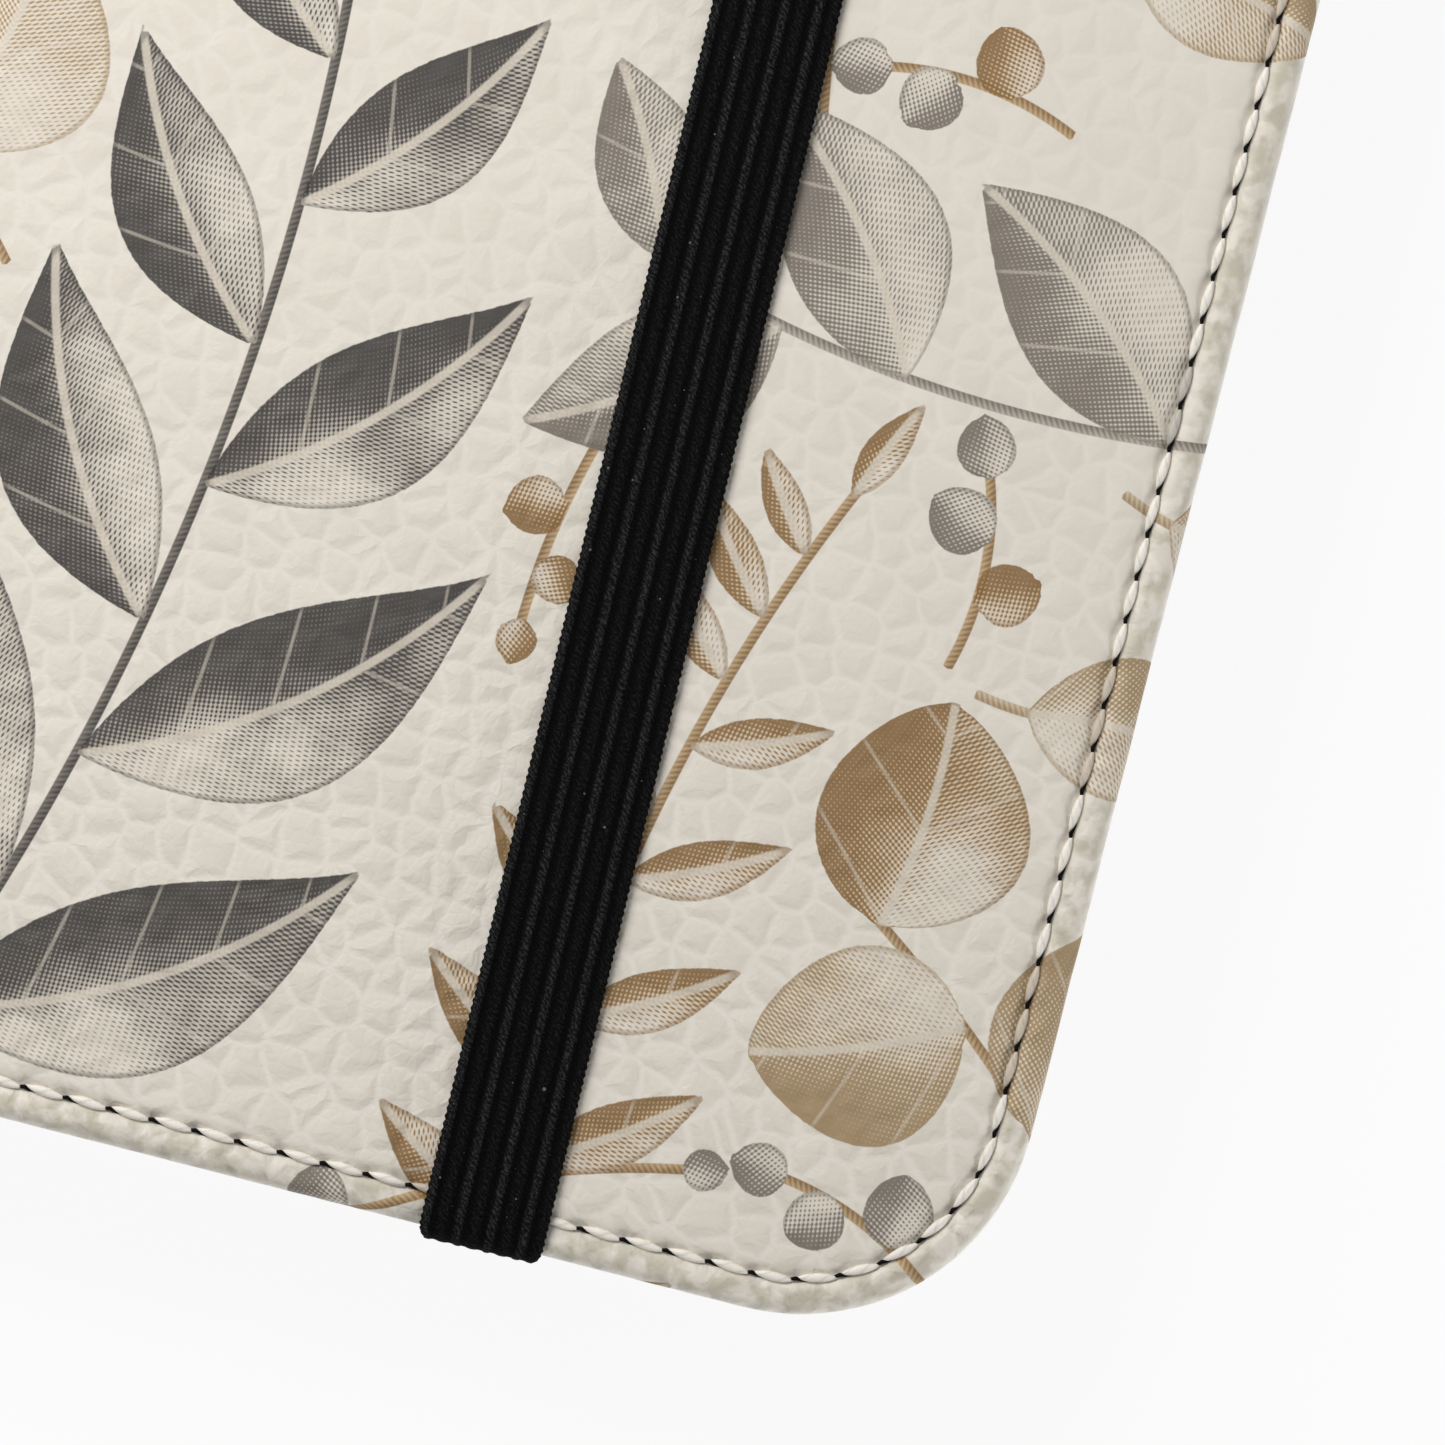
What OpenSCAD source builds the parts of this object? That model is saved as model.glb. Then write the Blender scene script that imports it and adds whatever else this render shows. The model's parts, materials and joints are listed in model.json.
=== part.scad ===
// Folio phone case with a turned leather cover, a snap-in shell, card pockets and an elastic closure.
// Closed and lying on its back: X across, opening edge at +X, Y along the phone, Z up from the back face.

/* [Phone] */
// Length of the phone the case is made for
phone_l = 147; // [130:0.5:170]
// Width of that phone
phone_w = 71.6; // [60:0.2:82]
// Thickness of that phone
phone_t = 7.9; // [6:0.1:11]
// Corner radius of that phone
phone_r = 11.5; // [7:0.5:14]

/* [Shell] */
// Gap between the phone and the shell wall
phone_gap = 0.2; // [0.1:0.05:0.5]
// Wall of the moulded shell
shell_wall = 1.2; // [0.8:0.1:2]
// Floor of the moulded shell
shell_floor = 1.2; // [0.8:0.1:2]
// Height of the corner lips above the phone
lip_t = 0.7; // [0.4:0.1:1.2]
// Reach of the corner lips over the phone
lip_over = 0.6; // [0.3:0.1:1]
// Straight run of each corner lip past the rounded corner
lip_run = 3; // [0:0.5:6]

/* [Cut-outs] */
// Width of the charging cut-out in the bottom wall
port_w = 40; // [20:1:44]
// Length of the power key cut-out
power_l = 20; // [12:1:30]
// Middle of the power key cut-out above the phone's middle
power_y = 24; // [0:1:35]
// Length of the volume key cut-out
volume_l = 42; // [20:1:50]
// Middle of the volume key cut-out above the phone's middle
volume_y = 30; // [0:1:35]
// Height of the wall left under each side cut-out, above the shell floor
notch_sill = 1.4; // [0.6:0.1:2.4]
// Corner radius of each side cut-out
notch_r = 1.5; // [0.8:0.1:2.5]
// Width of the camera window
cam_w = 20; // [12:1:22]
// Length of the camera window
cam_l = 36; // [12:1:44]
// Corner radius of the camera window
cam_r = 7; // [3:0.5:9]
// Camera window to the side of the phone
cam_side = 3; // [2.5:0.5:6]
// Camera window to the top of the phone
cam_top = 4; // [3:0.5:10]
// Wall of the camera collar
collar_wall = 1; // [0.6:0.1:1.5]
// Gap between the camera collar and the cover
collar_gap = 0.2; // [0.1:0.05:0.4]
// Step of the collar's end below the leather
collar_step = 0.2; // [0.1:0.05:0.5]

/* [Cover] */
// Leather thickness
skin_t = 0.8; // [0.6:0.05:1.1]
// Stiffening board thickness
board_t = 0.9; // [0.7:0.05:1.4]
// Lining thickness
lining_t = 0.4; // [0.25:0.05:0.7]
// Width of the leather turned in over the board
hem_w = 5.5; // [4:0.5:10]
// Radius of the two rounded cover corners
corner_r = 15; // [10:0.5:20]
// Cover past the shell at the opening edge
overhang_x = 4; // [3:0.1:6]
// Cover past the shell at the top and bottom
overhang_y = 4.1; // [3:0.1:6]
// Gap between the two boards' corners at a fold
fold_gap = 0.1; // [0.05:0.05:0.5]
// Gap between the shell and the spine lining
spine_gap = 1.1; // [0.5:0.1:2]
// Gap between the lining's filler and the turned-in leather
filler_gap = 0.1; // [0.05:0.05:0.3]
// Adhesive pad under the shell
pad_t = 0.8; // [0.7:0.05:1.5]
// Pad edge inside the shell edge
pad_inset = 3; // [1:0.5:8]
// Gap between the pad and the elastic's tails
pad_gap = 1; // [0.5:0.1:3]
// Gap between the pockets and the shell lips when closed
close_gap = 0.3; // [0.2:0.05:1]

/* [Stitching] */
// Stitch line to the cover's edge
seam_inset = 2.34; // [2.1:0.02:3]
// Stitch pitch
stitch_pitch = 2.78; // [2:0.02:4]
// Bare needle hole between two stitches
stitch_hole = 0.4; // [0.2:0.05:0.8]
// Thread thickness
thread_d = 0.6; // [0.4:0.02:0.65]
// Thread thickness where it dives into its hole
thread_tip_d = 0.24; // [0.1:0.02:0.3]
// Gap between the thread and its groove
groove_gap = 0.05; // [0.02:0.01:0.1]

/* [Elastic] */
// Width of the elastic
band_w = 8; // [5:0.5:12]
// Number of rubber cords in the elastic
band_cords = 8; // [4:1:12]
// Thickness at each cord
cord_d = 0.6; // [0.4:0.05:0.65]
// Thickness of the knit between two cords
web_t = 0.3; // [0.15:0.05:0.35]
// Gap between the elastic and the cover
band_gap = 0.15; // [0.1:0.05:0.4]
// Middle of the elastic to the opening edge, half way up
band_inset = 33.3; // [33:0.1:45]
// Slant of the elastic against the edge
band_skew = 0.8; // [0:0.1:1]
// Length of the elastic's tail, from the cover's end inwards
tail_l = 15; // [8:0.5:20]
// Gap above the lining for a tail
tail_gap = 0.02; // [0.01:0.01:0.04]

/* [Pockets] */
// Pocket sheet thickness
sheet_t = 0.45; // [0.3:0.05:0.7]
// Slot of an empty pocket
slot_t = 0.25; // [0.15:0.05:1]
// Card width
card_w = 54; // [50:0.1:56]
// Room beside a card
card_gap = 1.5; // [0.5:0.1:2]
// Width of the sewn border of a pocket
pocket_seam = 2.5; // [1.5:0.1:3]
// Depth of the lowest card pocket
pocket_l = 62; // [50:1:70]
// Step from one pocket mouth to the next
pocket_step = 14; // [8:1:18]
// Pocket edge to the cover's top and bottom
pocket_margin = 7; // [6:0.5:10]
// Slip pocket edge to the fold and to the opening edge
slip_margin = 4.5; // [3:0.5:8]
// Radius of the thumb scoop in a pocket mouth
scoop_r = 9; // [5:0.5:12]
// Depth of the thumb scoop
scoop_depth = 5; // [2:0.5:5]

/* [Hidden] */
$fn = 48;
eps = 0.5;
pocket_count = 4;
turned_t = 2 * skin_t + board_t;
rim_r = turned_t / 2;
cover_t = turned_t + lining_t;
fold_r = cover_t + fold_gap;
bay_w = phone_w + 2 * phone_gap;
bay_l = phone_l + 2 * phone_gap;
bay_r = phone_r + phone_gap;
shell_w = bay_w + 2 * shell_wall;
shell_l = bay_l + 2 * shell_wall;
shell_r = bay_r + shell_wall;
shell_h = shell_floor + phone_t + lip_t;
shell_z = cover_t + pad_t;
case_w = cover_t + spine_gap + shell_w + overhang_x;
case_l = shell_l + 2 * overhang_y;
half_w = case_w / 2;
half_l = case_l / 2;
shell_x = half_w - overhang_x - shell_w / 2;
fold_x = fold_r - half_w;
pocket_t = sheet_t + slot_t;
front_inner_z = shell_z + shell_h + close_gap + pocket_count * pocket_t;
case_h = front_inner_z + cover_t;
cam_x = shell_x + phone_w / 2 - cam_side - cam_w / 2;
cam_y = phone_l / 2 - cam_top - cam_l / 2;
seam_r = corner_r - seam_inset;
seam_side = half_w - corner_r - fold_x;
seam_arc = seam_r * PI / 2;
seam_end = case_l - 2 * corner_r;
seam_half = seam_side + seam_arc + seam_end / 2;
stitch_count = 2 * round(seam_half / stitch_pitch);
stitch_step = 2 * seam_half / stitch_count;
groove_r = thread_d / 2 + groove_gap;
spine_l = case_h - 2 * fold_r;
spine_stitches = round(spine_l / stitch_pitch);
spine_step = spine_l / spine_stitches;
cord_pitch = (band_w - cord_d) / (band_cords - 1);
band_x = half_w - band_inset;
band_bend = rim_r + band_gap + cord_d / 2;
band_leg_z = cover_t + tail_gap;
pocket_w = card_w + 2 * card_gap + 2 * pocket_seam;
pocket_x = (fold_x + half_w) / 2;
pocket_y = pocket_margin - half_l;
leather = [0.87, 0.84, 0.79];
paperboard = [0.55, 0.5, 0.44];
cloth = [0.2, 0.19, 0.19];
thread = [0.93, 0.9, 0.84];
plastic = [0.28, 0.28, 0.29];
foam = [0.4, 0.42, 0.45];
elastic = [0.06, 0.06, 0.06];
pocket_cloth = [0.3, 0.28, 0.27];

// Rectangle with four round corners
module rounded_rect(w, l, r) {
    square([w - 2 * r, l], center = true);
    square([w, l - 2 * r], center = true);
    for (sx = [-1, 1], sy = [-1, 1])
        translate([sx * (w / 2 - r), sy * (l / 2 - r)])
            circle(r = r);
}

// Outline of a cover, drawn in from its three free sides and cut at left
module cover_outline(inset, left) {
    r = corner_r - inset;
    translate([left, inset - half_l])
        square([half_w - corner_r - left, case_l - 2 * inset]);
    translate([left, corner_r - half_l])
        square([half_w - inset - left, case_l - 2 * corner_r]);
    for (s = [-1, 1])
        translate([half_w - corner_r, s * (half_l - corner_r)])
            circle(r = r);
}

// A profile carried along the three free sides and round both corners
module edge_sweep(inset) {
    translate([half_w - inset, half_l - corner_r, 0])
        rotate([90, 0, 0])
            linear_extrude(case_l - 2 * corner_r)
                children();
    for (m = [0, 1])
        mirror([0, m, 0]) {
            translate([fold_x, half_l - inset, 0])
                rotate([90, 0, 90])
                    linear_extrude(half_w - corner_r - fold_x)
                        children();
            translate([half_w - corner_r, half_l - corner_r, 0])
                rotate_extrude(angle = 90)
                    translate([corner_r - inset, 0])
                        children();
        }
}

// Half ring of leather rolled over the board's edge
module rim_profile() {
    translate([0, rim_r])
        intersection() {
            difference() {
                circle(r = rim_r);
                circle(r = rim_r - skin_t);
            }
            translate([0, -rim_r])
                square([rim_r, 2 * rim_r]);
        }
}

// Round-bottomed groove for the thread, open downwards
module groove_profile() {
    translate([0, thread_d / 2])
        circle(r = groove_r);
    translate([-groove_r, -eps])
        square([2 * groove_r, thread_d / 2 + eps]);
}

// Leather of one cover, outer face at z = 0
module turned_skin() {
    difference() {
        union() {
            linear_extrude(skin_t)
                cover_outline(rim_r, fold_x);
            edge_sweep(rim_r)
                rim_profile();
            translate([0, 0, turned_t - skin_t])
                linear_extrude(skin_t)
                    difference() {
                        cover_outline(rim_r, fold_x);
                        cover_outline(rim_r + hem_w, fold_x - eps);
                    }
        }
        edge_sweep(seam_inset)
            groove_profile();
    }
}

// Board inside one cover
module cover_board() {
    translate([0, 0, skin_t])
        linear_extrude(board_t)
            cover_outline(rim_r, fold_x);
}

// Lining of one cover, its filler let in between the turned-in edges
module cover_lining() {
    translate([0, 0, skin_t + board_t])
        linear_extrude(skin_t)
            cover_outline(rim_r + hem_w + filler_gap, fold_x);
    translate([0, 0, turned_t])
        linear_extrude(lining_t)
            cover_outline(rim_r, fold_x);
}

// One stitch along X, lying on z = 0
module stitch(step) {
    half = (step - stitch_hole) / 2;
    translate([0, 0, thread_d / 2])
        rotate([0, 90, 0])
            rotate_extrude()
                polygon([
                    [0, -half],
                    [thread_tip_d / 2, -half],
                    [thread_d / 2, -half / 2],
                    [thread_d / 2, half / 2],
                    [thread_tip_d / 2, half],
                    [0, half]
                ]);
}

// Place and heading on the upper half of the stitch line, s from the fold
function seam_place(s) =
    s < seam_side
        ? [fold_x + s, half_l - seam_inset, 0]
        : s < seam_side + seam_arc
            ? [half_w - corner_r + seam_r * sin((s - seam_side) / seam_r * 180 / PI),
               half_l - corner_r + seam_r * cos((s - seam_side) / seam_r * 180 / PI),
               -(s - seam_side) / seam_r * 180 / PI]
            : [half_w - seam_inset, half_l - corner_r - (s - seam_side - seam_arc), -90];

// Stitches round one cover
module cover_stitches() {
    for (m = [0, 1], i = [0 : stitch_count / 2 - 1]) {
        p = seam_place((i + 0.5) * stitch_step);
        mirror([0, m, 0])
            translate([p[0], p[1], 0])
                rotate([0, 0, p[2]])
                    stitch(stitch_step);
    }
}

// Turns a cover made for the back over onto the front
module to_front() {
    translate([0, 0, case_h])
        mirror([0, 0, 1])
            children();
}

// Camera window grown by a margin, through everything under the phone
module camera_cut(grow) {
    translate([cam_x, cam_y, -eps])
        linear_extrude(shell_z + shell_floor + 2 * eps)
            rounded_rect(cam_w + 2 * grow, cam_l + 2 * grow, cam_r + grow);
}

// Leather of the back cover
module back_skin() {
    color(leather)
        difference() {
            turned_skin();
            camera_cut(collar_wall + collar_gap);
        }
}

// Board of the back cover
module back_board() {
    color(paperboard)
        difference() {
            cover_board();
            camera_cut(collar_wall + collar_gap);
        }
}

// Lining of the back cover
module back_lining() {
    color(cloth)
        difference() {
            cover_lining();
            camera_cut(collar_wall + collar_gap);
        }
}

// Stitches of the back cover
module back_stitching() {
    color(thread)
        cover_stitches();
}

// Adhesive pad that holds the shell on the back lining
module shell_pad() {
    color(foam)
        difference() {
            translate([shell_x, 0, cover_t])
                linear_extrude(pad_t)
                    square([shell_w - 2 * pad_inset, 2 * (half_l - tail_l - pad_gap)], center = true);
            camera_cut(collar_wall + collar_gap);
        }
}

// Cut-out with round lower corners, made through a wall along Y
module notch(length) {
    translate([0, shell_wall + eps, shell_floor + notch_sill])
        rotate([90, 0, 0])
            linear_extrude(2 * (shell_wall + eps)) {
                translate([-length / 2, notch_r])
                    square([length, shell_h]);
                translate([notch_r - length / 2, 0])
                    square([length - 2 * notch_r, shell_h]);
                for (s = [-1, 1])
                    translate([s * (length / 2 - notch_r), notch_r])
                        circle(r = notch_r);
            }
}

// Lips that hold the phone at the shell's four corners
module corner_lips() {
    reach = shell_r + lip_run;
    translate([0, 0, shell_floor + phone_t])
        linear_extrude(lip_t)
            intersection() {
                difference() {
                    rounded_rect(shell_w, shell_l, shell_r);
                    rounded_rect(bay_w - 2 * lip_over, bay_l - 2 * lip_over, bay_r - lip_over);
                }
                for (sx = [-1, 1], sy = [-1, 1])
                    translate([sx * (shell_w - reach) / 2, sy * (shell_l - reach) / 2])
                        square(reach, center = true);
            }
}

// Moulded shell with its camera collar, cut-outs and corner lips
module phone_shell() {
    color(plastic)
        difference() {
            union() {
                translate([shell_x, 0, shell_z])
                    difference() {
                        union() {
                            difference() {
                                linear_extrude(shell_h)
                                    rounded_rect(shell_w, shell_l, shell_r);
                                translate([0, 0, shell_floor])
                                    linear_extrude(shell_h)
                                        rounded_rect(bay_w, bay_l, bay_r);
                            }
                            corner_lips();
                        }
                        translate([0, -shell_l / 2, 0])
                            notch(port_w);
                        translate([shell_w / 2, power_y, 0])
                            rotate([0, 0, 90])
                                notch(power_l);
                        translate([-shell_w / 2, volume_y, 0])
                            rotate([0, 0, 90])
                                notch(volume_l);
                    }
                translate([cam_x, cam_y, collar_step])
                    linear_extrude(shell_z + shell_floor - collar_step)
                        rounded_rect(cam_w + 2 * collar_wall, cam_l + 2 * collar_wall, cam_r + collar_wall);
            }
            camera_cut(0);
        }
}

// Cross-section of the elastic: thickness along x, width along y
module band_section() {
    square([web_t, band_w - cord_d], center = true);
    for (i = [0 : band_cords - 1])
        translate([0, (i - (band_cords - 1) / 2) * cord_pitch])
            circle(d = cord_d, $fn = 24);
}

// Frame of the elastic: x along the case, y up, z across the band
module band_frame() {
    translate([band_x, 0, 0])
        rotate([0, 0, band_skew])
            rotate([90, 0, 90])
                children();
}

// Run over the front cover with a leg down each end
module elastic_band() {
    top = case_h - rim_r;
    end = half_l - rim_r;
    color(elastic)
        band_frame() {
            translate([-end, top + band_bend, 0])
                rotate([90, 0, 90])
                    linear_extrude(2 * end)
                        band_section();
            for (m = [0, 1])
                mirror([m, 0, 0])
                    translate([end, top, 0]) {
                        rotate_extrude(angle = 90)
                            translate([band_bend, 0])
                                band_section();
                        translate([band_bend, 0, 0])
                            rotate([90, 0, 0])
                                linear_extrude(top - band_leg_z)
                                    band_section();
                    }
        }
}

// Tail of the elastic, glued down under the shell at the top end
module band_tail() {
    color(elastic)
        band_frame()
            translate([half_l - tail_l, band_leg_z + cord_d / 2, 0])
                rotate([90, 0, 90])
                    linear_extrude(tail_l)
                        band_section();
}

// Tail at the top end
module band_tail_top() {
    band_tail();
}

// Tail at the bottom end, the same piece turned about the band's middle
module band_tail_bottom() {
    translate([2 * band_x, 0, 0])
        rotate([0, 0, 180])
            band_tail();
}

// A fold's profile, radius along x, carried round the back fold about its axis
module fold_sweep() {
    translate([fold_x, 0, fold_r])
        rotate([90, 0, 0])
            rotate([0, 0, 180])
                rotate_extrude(angle = 90)
                    children();
}

// Leather bent from the back cover into the spine, turned in at both ends
module back_fold_strip() {
    flat = half_l - rim_r;
    color(leather)
        fold_sweep() {
            translate([fold_r - skin_t, -flat])
                square([skin_t, 2 * flat]);
            for (m = [0, 1])
                mirror([0, m])
                    translate([fold_r, flat]) {
                        rotate(90)
                            rim_profile();
                        translate([-turned_t, -hem_w])
                            square([skin_t, hem_w]);
                    }
        }
}

// Leather bent from the spine into the front cover
module front_fold_strip() {
    to_front()
        back_fold_strip();
}

// Stands a spine piece up: x becomes height, z becomes depth from the outer face
module spine_frame() {
    translate([-half_w, 0, fold_r])
        mirror([1, 0, 0])
            rotate([0, -90, 0])
                children();
}

// Leather of the spine, turned in at both ends
module spine_skin() {
    flat = half_l - rim_r;
    color(leather)
        spine_frame()
            difference() {
                union() {
                    translate([0, -flat, 0])
                        cube([spine_l, 2 * flat, skin_t]);
                    for (m = [0, 1])
                        mirror([0, m, 0]) {
                            translate([0, flat, 0])
                                rotate([90, 0, 90])
                                    linear_extrude(spine_l)
                                        rim_profile();
                            translate([0, flat - hem_w, turned_t - skin_t])
                                cube([spine_l, hem_w, skin_t]);
                        }
                }
                for (m = [0, 1])
                    mirror([0, m, 0])
                        translate([-eps, half_l - seam_inset, 0])
                            rotate([90, 0, 90])
                                linear_extrude(spine_l + 2 * eps)
                                    groove_profile();
            }
}

// Board of the spine
module spine_board() {
    color(paperboard)
        spine_frame()
            translate([0, rim_r - half_l, skin_t])
                cube([spine_l, case_l - 2 * rim_r, board_t]);
}

// Lining of the spine, its filler let in between the turned-in ends
module spine_lining() {
    filler = half_l - rim_r - hem_w - filler_gap;
    color(cloth)
        spine_frame() {
            translate([0, -filler, skin_t + board_t])
                cube([spine_l, 2 * filler, skin_t]);
            translate([0, rim_r - half_l, turned_t])
                cube([spine_l, case_l - 2 * rim_r, lining_t]);
        }
}

// Stitches across both ends of the spine
module spine_stitching() {
    color(thread)
        spine_frame()
            for (s = [-1, 1], i = [0 : spine_stitches - 1])
                translate([(i + 0.5) * spine_step, s * (half_l - seam_inset), 0])
                    stitch(spine_step);
}

// Leather of the front cover
module front_skin() {
    color(leather)
        to_front()
            turned_skin();
}

// Board of the front cover
module front_board() {
    color(paperboard)
        to_front()
            cover_board();
}

// Lining of the front cover
module front_lining() {
    color(cloth)
        to_front()
            cover_lining();
}

// Stitches of the front cover
module front_stitching() {
    color(thread)
        to_front()
            cover_stitches();
}

// Slip pocket for notes, sewn on three sides and open towards the spine
module slip_pocket() {
    left = fold_x + slip_margin;
    w = half_w - slip_margin - left;
    l = case_l - 2 * pocket_margin;
    color(pocket_cloth)
        translate([left, -l / 2, front_inner_z - pocket_t]) {
            cube([w, l, sheet_t]);
            translate([0, 0, sheet_t])
                difference() {
                    cube([w, l, slot_t]);
                    translate([-pocket_seam, pocket_seam, -eps])
                        cube([w, l - 2 * pocket_seam, slot_t + 2 * eps]);
                }
        }
}

// Card pocket at a layer below the front lining, open at its upper end
module card_pocket(layer) {
    l = pocket_l + (pocket_count - layer) * pocket_step;
    color(pocket_cloth)
        translate([pocket_x - pocket_w / 2, pocket_y, front_inner_z - layer * pocket_t])
            difference() {
                union() {
                    cube([pocket_w, l, sheet_t]);
                    translate([0, 0, sheet_t])
                        difference() {
                            cube([pocket_w, l, slot_t]);
                            translate([pocket_seam, pocket_seam, -eps])
                                cube([pocket_w - 2 * pocket_seam, l, slot_t + 2 * eps]);
                        }
                }
                translate([pocket_w / 2, l + scoop_r - scoop_depth, -eps])
                    cylinder(r = scoop_r, h = pocket_t + 2 * eps);
            }
}

// Card pocket with the highest mouth
module card_pocket_upper() {
    card_pocket(2);
}

// Card pocket with the middle mouth
module card_pocket_middle() {
    card_pocket(3);
}

// Card pocket with the lowest mouth
module card_pocket_lower() {
    card_pocket(pocket_count);
}

back_skin();
back_board();
back_lining();
back_stitching();
shell_pad();
phone_shell();
band_tail_top();
band_tail_bottom();
back_fold_strip();
spine_skin();
spine_board();
spine_lining();
spine_stitching();
front_fold_strip();
front_skin();
front_board();
front_lining();
front_stitching();
slip_pocket();
card_pocket_upper();
card_pocket_middle();
card_pocket_lower();
elastic_band();
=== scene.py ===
import json
import math
from functools import partial
from math import pi, radians, tau

import bmesh
import bpy
import numpy as np
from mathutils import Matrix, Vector

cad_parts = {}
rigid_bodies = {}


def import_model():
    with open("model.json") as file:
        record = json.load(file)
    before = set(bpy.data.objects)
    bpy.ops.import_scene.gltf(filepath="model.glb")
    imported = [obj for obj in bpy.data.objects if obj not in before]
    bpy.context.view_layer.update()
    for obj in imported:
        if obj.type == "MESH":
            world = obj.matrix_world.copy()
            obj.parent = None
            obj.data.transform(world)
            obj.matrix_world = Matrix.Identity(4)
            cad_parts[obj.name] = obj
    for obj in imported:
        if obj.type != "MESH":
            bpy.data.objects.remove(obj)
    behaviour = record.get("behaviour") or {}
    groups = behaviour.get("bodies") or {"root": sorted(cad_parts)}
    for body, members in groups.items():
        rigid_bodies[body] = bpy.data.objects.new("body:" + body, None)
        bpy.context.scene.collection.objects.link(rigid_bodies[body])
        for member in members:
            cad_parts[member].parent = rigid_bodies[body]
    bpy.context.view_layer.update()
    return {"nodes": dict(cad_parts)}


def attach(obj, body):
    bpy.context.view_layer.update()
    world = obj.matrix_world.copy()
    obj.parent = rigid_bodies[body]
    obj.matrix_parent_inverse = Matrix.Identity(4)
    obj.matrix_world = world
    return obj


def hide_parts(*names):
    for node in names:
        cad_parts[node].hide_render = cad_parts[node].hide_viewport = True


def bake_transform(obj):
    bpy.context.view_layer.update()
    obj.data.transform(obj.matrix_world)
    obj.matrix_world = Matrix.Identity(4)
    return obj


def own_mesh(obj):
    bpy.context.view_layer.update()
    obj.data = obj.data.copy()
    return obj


for start_object in list(bpy.data.objects):
    bpy.data.objects.remove(start_object)
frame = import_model()

# Sizes of the case in mm, as in the part's source
MM, WELD = 0.001, 0.0001
HALF_W, HALF_L, CASE_H = 41.2, 79.0, 19.5
TURNED_T, RIM_R, LINING_T, COVER_T = 2.5, 1.25, 0.4, 2.9
FOLD_R, FOLD_X, CORNER_R = 3.0, -38.2, 15.0
SEAM_INSET, STITCH_PITCH, THREAD_R = 2.34, 2.78, 0.31
CORNER_X, CORNER_Y = HALF_W - CORNER_R, HALF_L - CORNER_R
SPINE_HALF = CASE_H / 2 - FOLD_R
FOLD_ARC = FOLD_R * pi / 2
COVER_U = SPINE_HALF + FOLD_ARC
# Camera window: middle across and along, half width, half length, corner radius
CAMERA_HOLE = (22.8, 51.5, 11.2, 19.2, 8.2)
BAND_X, BAND_SKEW, BAND_W = 7.9, radians(0.8), 8.0
BAND_RIBS, CORD_D, WEB_T, LOOP_PITCH = 8, 0.6, 0.3, 0.5
BAND_BEND, BAND_LEG_Z, TAIL_L = 1.7, 2.92, 15.0
FRONT_INNER_Z = CASE_H - COVER_T
POCKET_T, SHEET_T = 0.7, 0.45
# Shading splits and edges are rounded where faces meet at more than these
CRISP_ANGLE, SOFT_ANGLE = radians(70), radians(50)
# Each cover with its side of the spine, which is also the way that its outer face looks
COVERS = (("front", 1), ("back", -1))

# Camera: straight down on the lower right corner of the front cover
CAMERA_TURN = radians(14.3)
CAMERA_AIM = (15.75, -43.4)
FRAME_MM, LENS_MM, SENSOR_MM = 91.46, 200.0, 36.0


def placed(name, data):
    """A new object in the scene, at the origin."""
    thing = bpy.data.objects.new(name, data)
    bpy.context.scene.collection.objects.link(thing)
    return thing


camera = placed("camera", bpy.data.cameras.new("camera"))
camera.data.lens, camera.data.sensor_width = LENS_MM, SENSOR_MM
camera_z = CASE_H + FRAME_MM * LENS_MM / SENSOR_MM
camera.location = (CAMERA_AIM[0] * MM, CAMERA_AIM[1] * MM, camera_z * MM)
camera.rotation_euler = (0, 0, CAMERA_TURN)
bpy.context.scene.camera = camera


def linear(hex_colour):
    """An sRGB hex colour as linear RGB: a straight line up to 0.04045, a power of 2.4 above it."""
    s = np.array([int(hex_colour[i:i + 2], 16) for i in (1, 3, 5)]) / 255
    return np.where(s <= 0.04045, s / 12.92, ((s + 0.055) / 1.055) ** 2.4)


def rgba(hex_colour):
    """The same with an alpha of one, for a colour socket."""
    return (*linear(hex_colour), 1.0)


def run(start, stop, step):
    """Evenly spaced values from start to stop, about step apart, both ends included."""
    return np.linspace(start, stop, max(2, round(abs(stop - start) / step) + 1))


def chain(*parts):
    """Arrays end to end."""
    return np.concatenate(parts)


def places(x, y, z):
    """Points from their coordinates, which are grids or numbers."""
    return np.stack(np.broadcast_arrays(x, y, z), -1).reshape(-1, 3)


def smooth_step(low, high, value):
    """0 below low, 1 above high, and the cubic 3t2 - 2t3 between them."""
    t = np.clip((value - low) / (high - low), 0, 1)
    return t * t * (3 - 2 * t)


def bell(value, middle, width):
    """A bell curve: 1 at the middle, 1/e at the width from it."""
    return np.exp(-((value - middle) / width) ** 2)


# Meshes, as (points in mm, quads, fields)

def grid_quads(rows, cols, wrap=False):
    """Quads of a grid of points numbered row by row; a wrapped grid joins its last column to its first."""
    i = np.arange(rows - 1)[:, None]
    j = np.arange(cols if wrap else cols - 1)[None, :]
    here, below, right = i * cols, (i + 1) * cols, (j + 1) % cols
    return np.stack([here + j, here + right, below + right, below + j], -1).reshape(-1, 4)


def face_vectors(points, quads):
    """Cross product of each quad's diagonals, which is twice its area along its normal."""
    a, b, c, d = (points[quads[:, k]] for k in range(4))
    return np.cross(c - a, d - b)


def facing(points, quads, towards):
    """The quads, turned over if their area vectors add up to one that points away from towards."""
    return quads if face_vectors(points, quads).sum(0) @ np.array(towards, float) > 0 else quads[:, ::-1]


def outward(points, quads):
    """The quads of a closed shell, turned over if the volume they enclose comes out negative."""
    centre = points[quads].mean(1) - points.mean(0)
    return quads if (face_vectors(points, quads) * centre).sum() > 0 else quads[:, ::-1]


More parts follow.
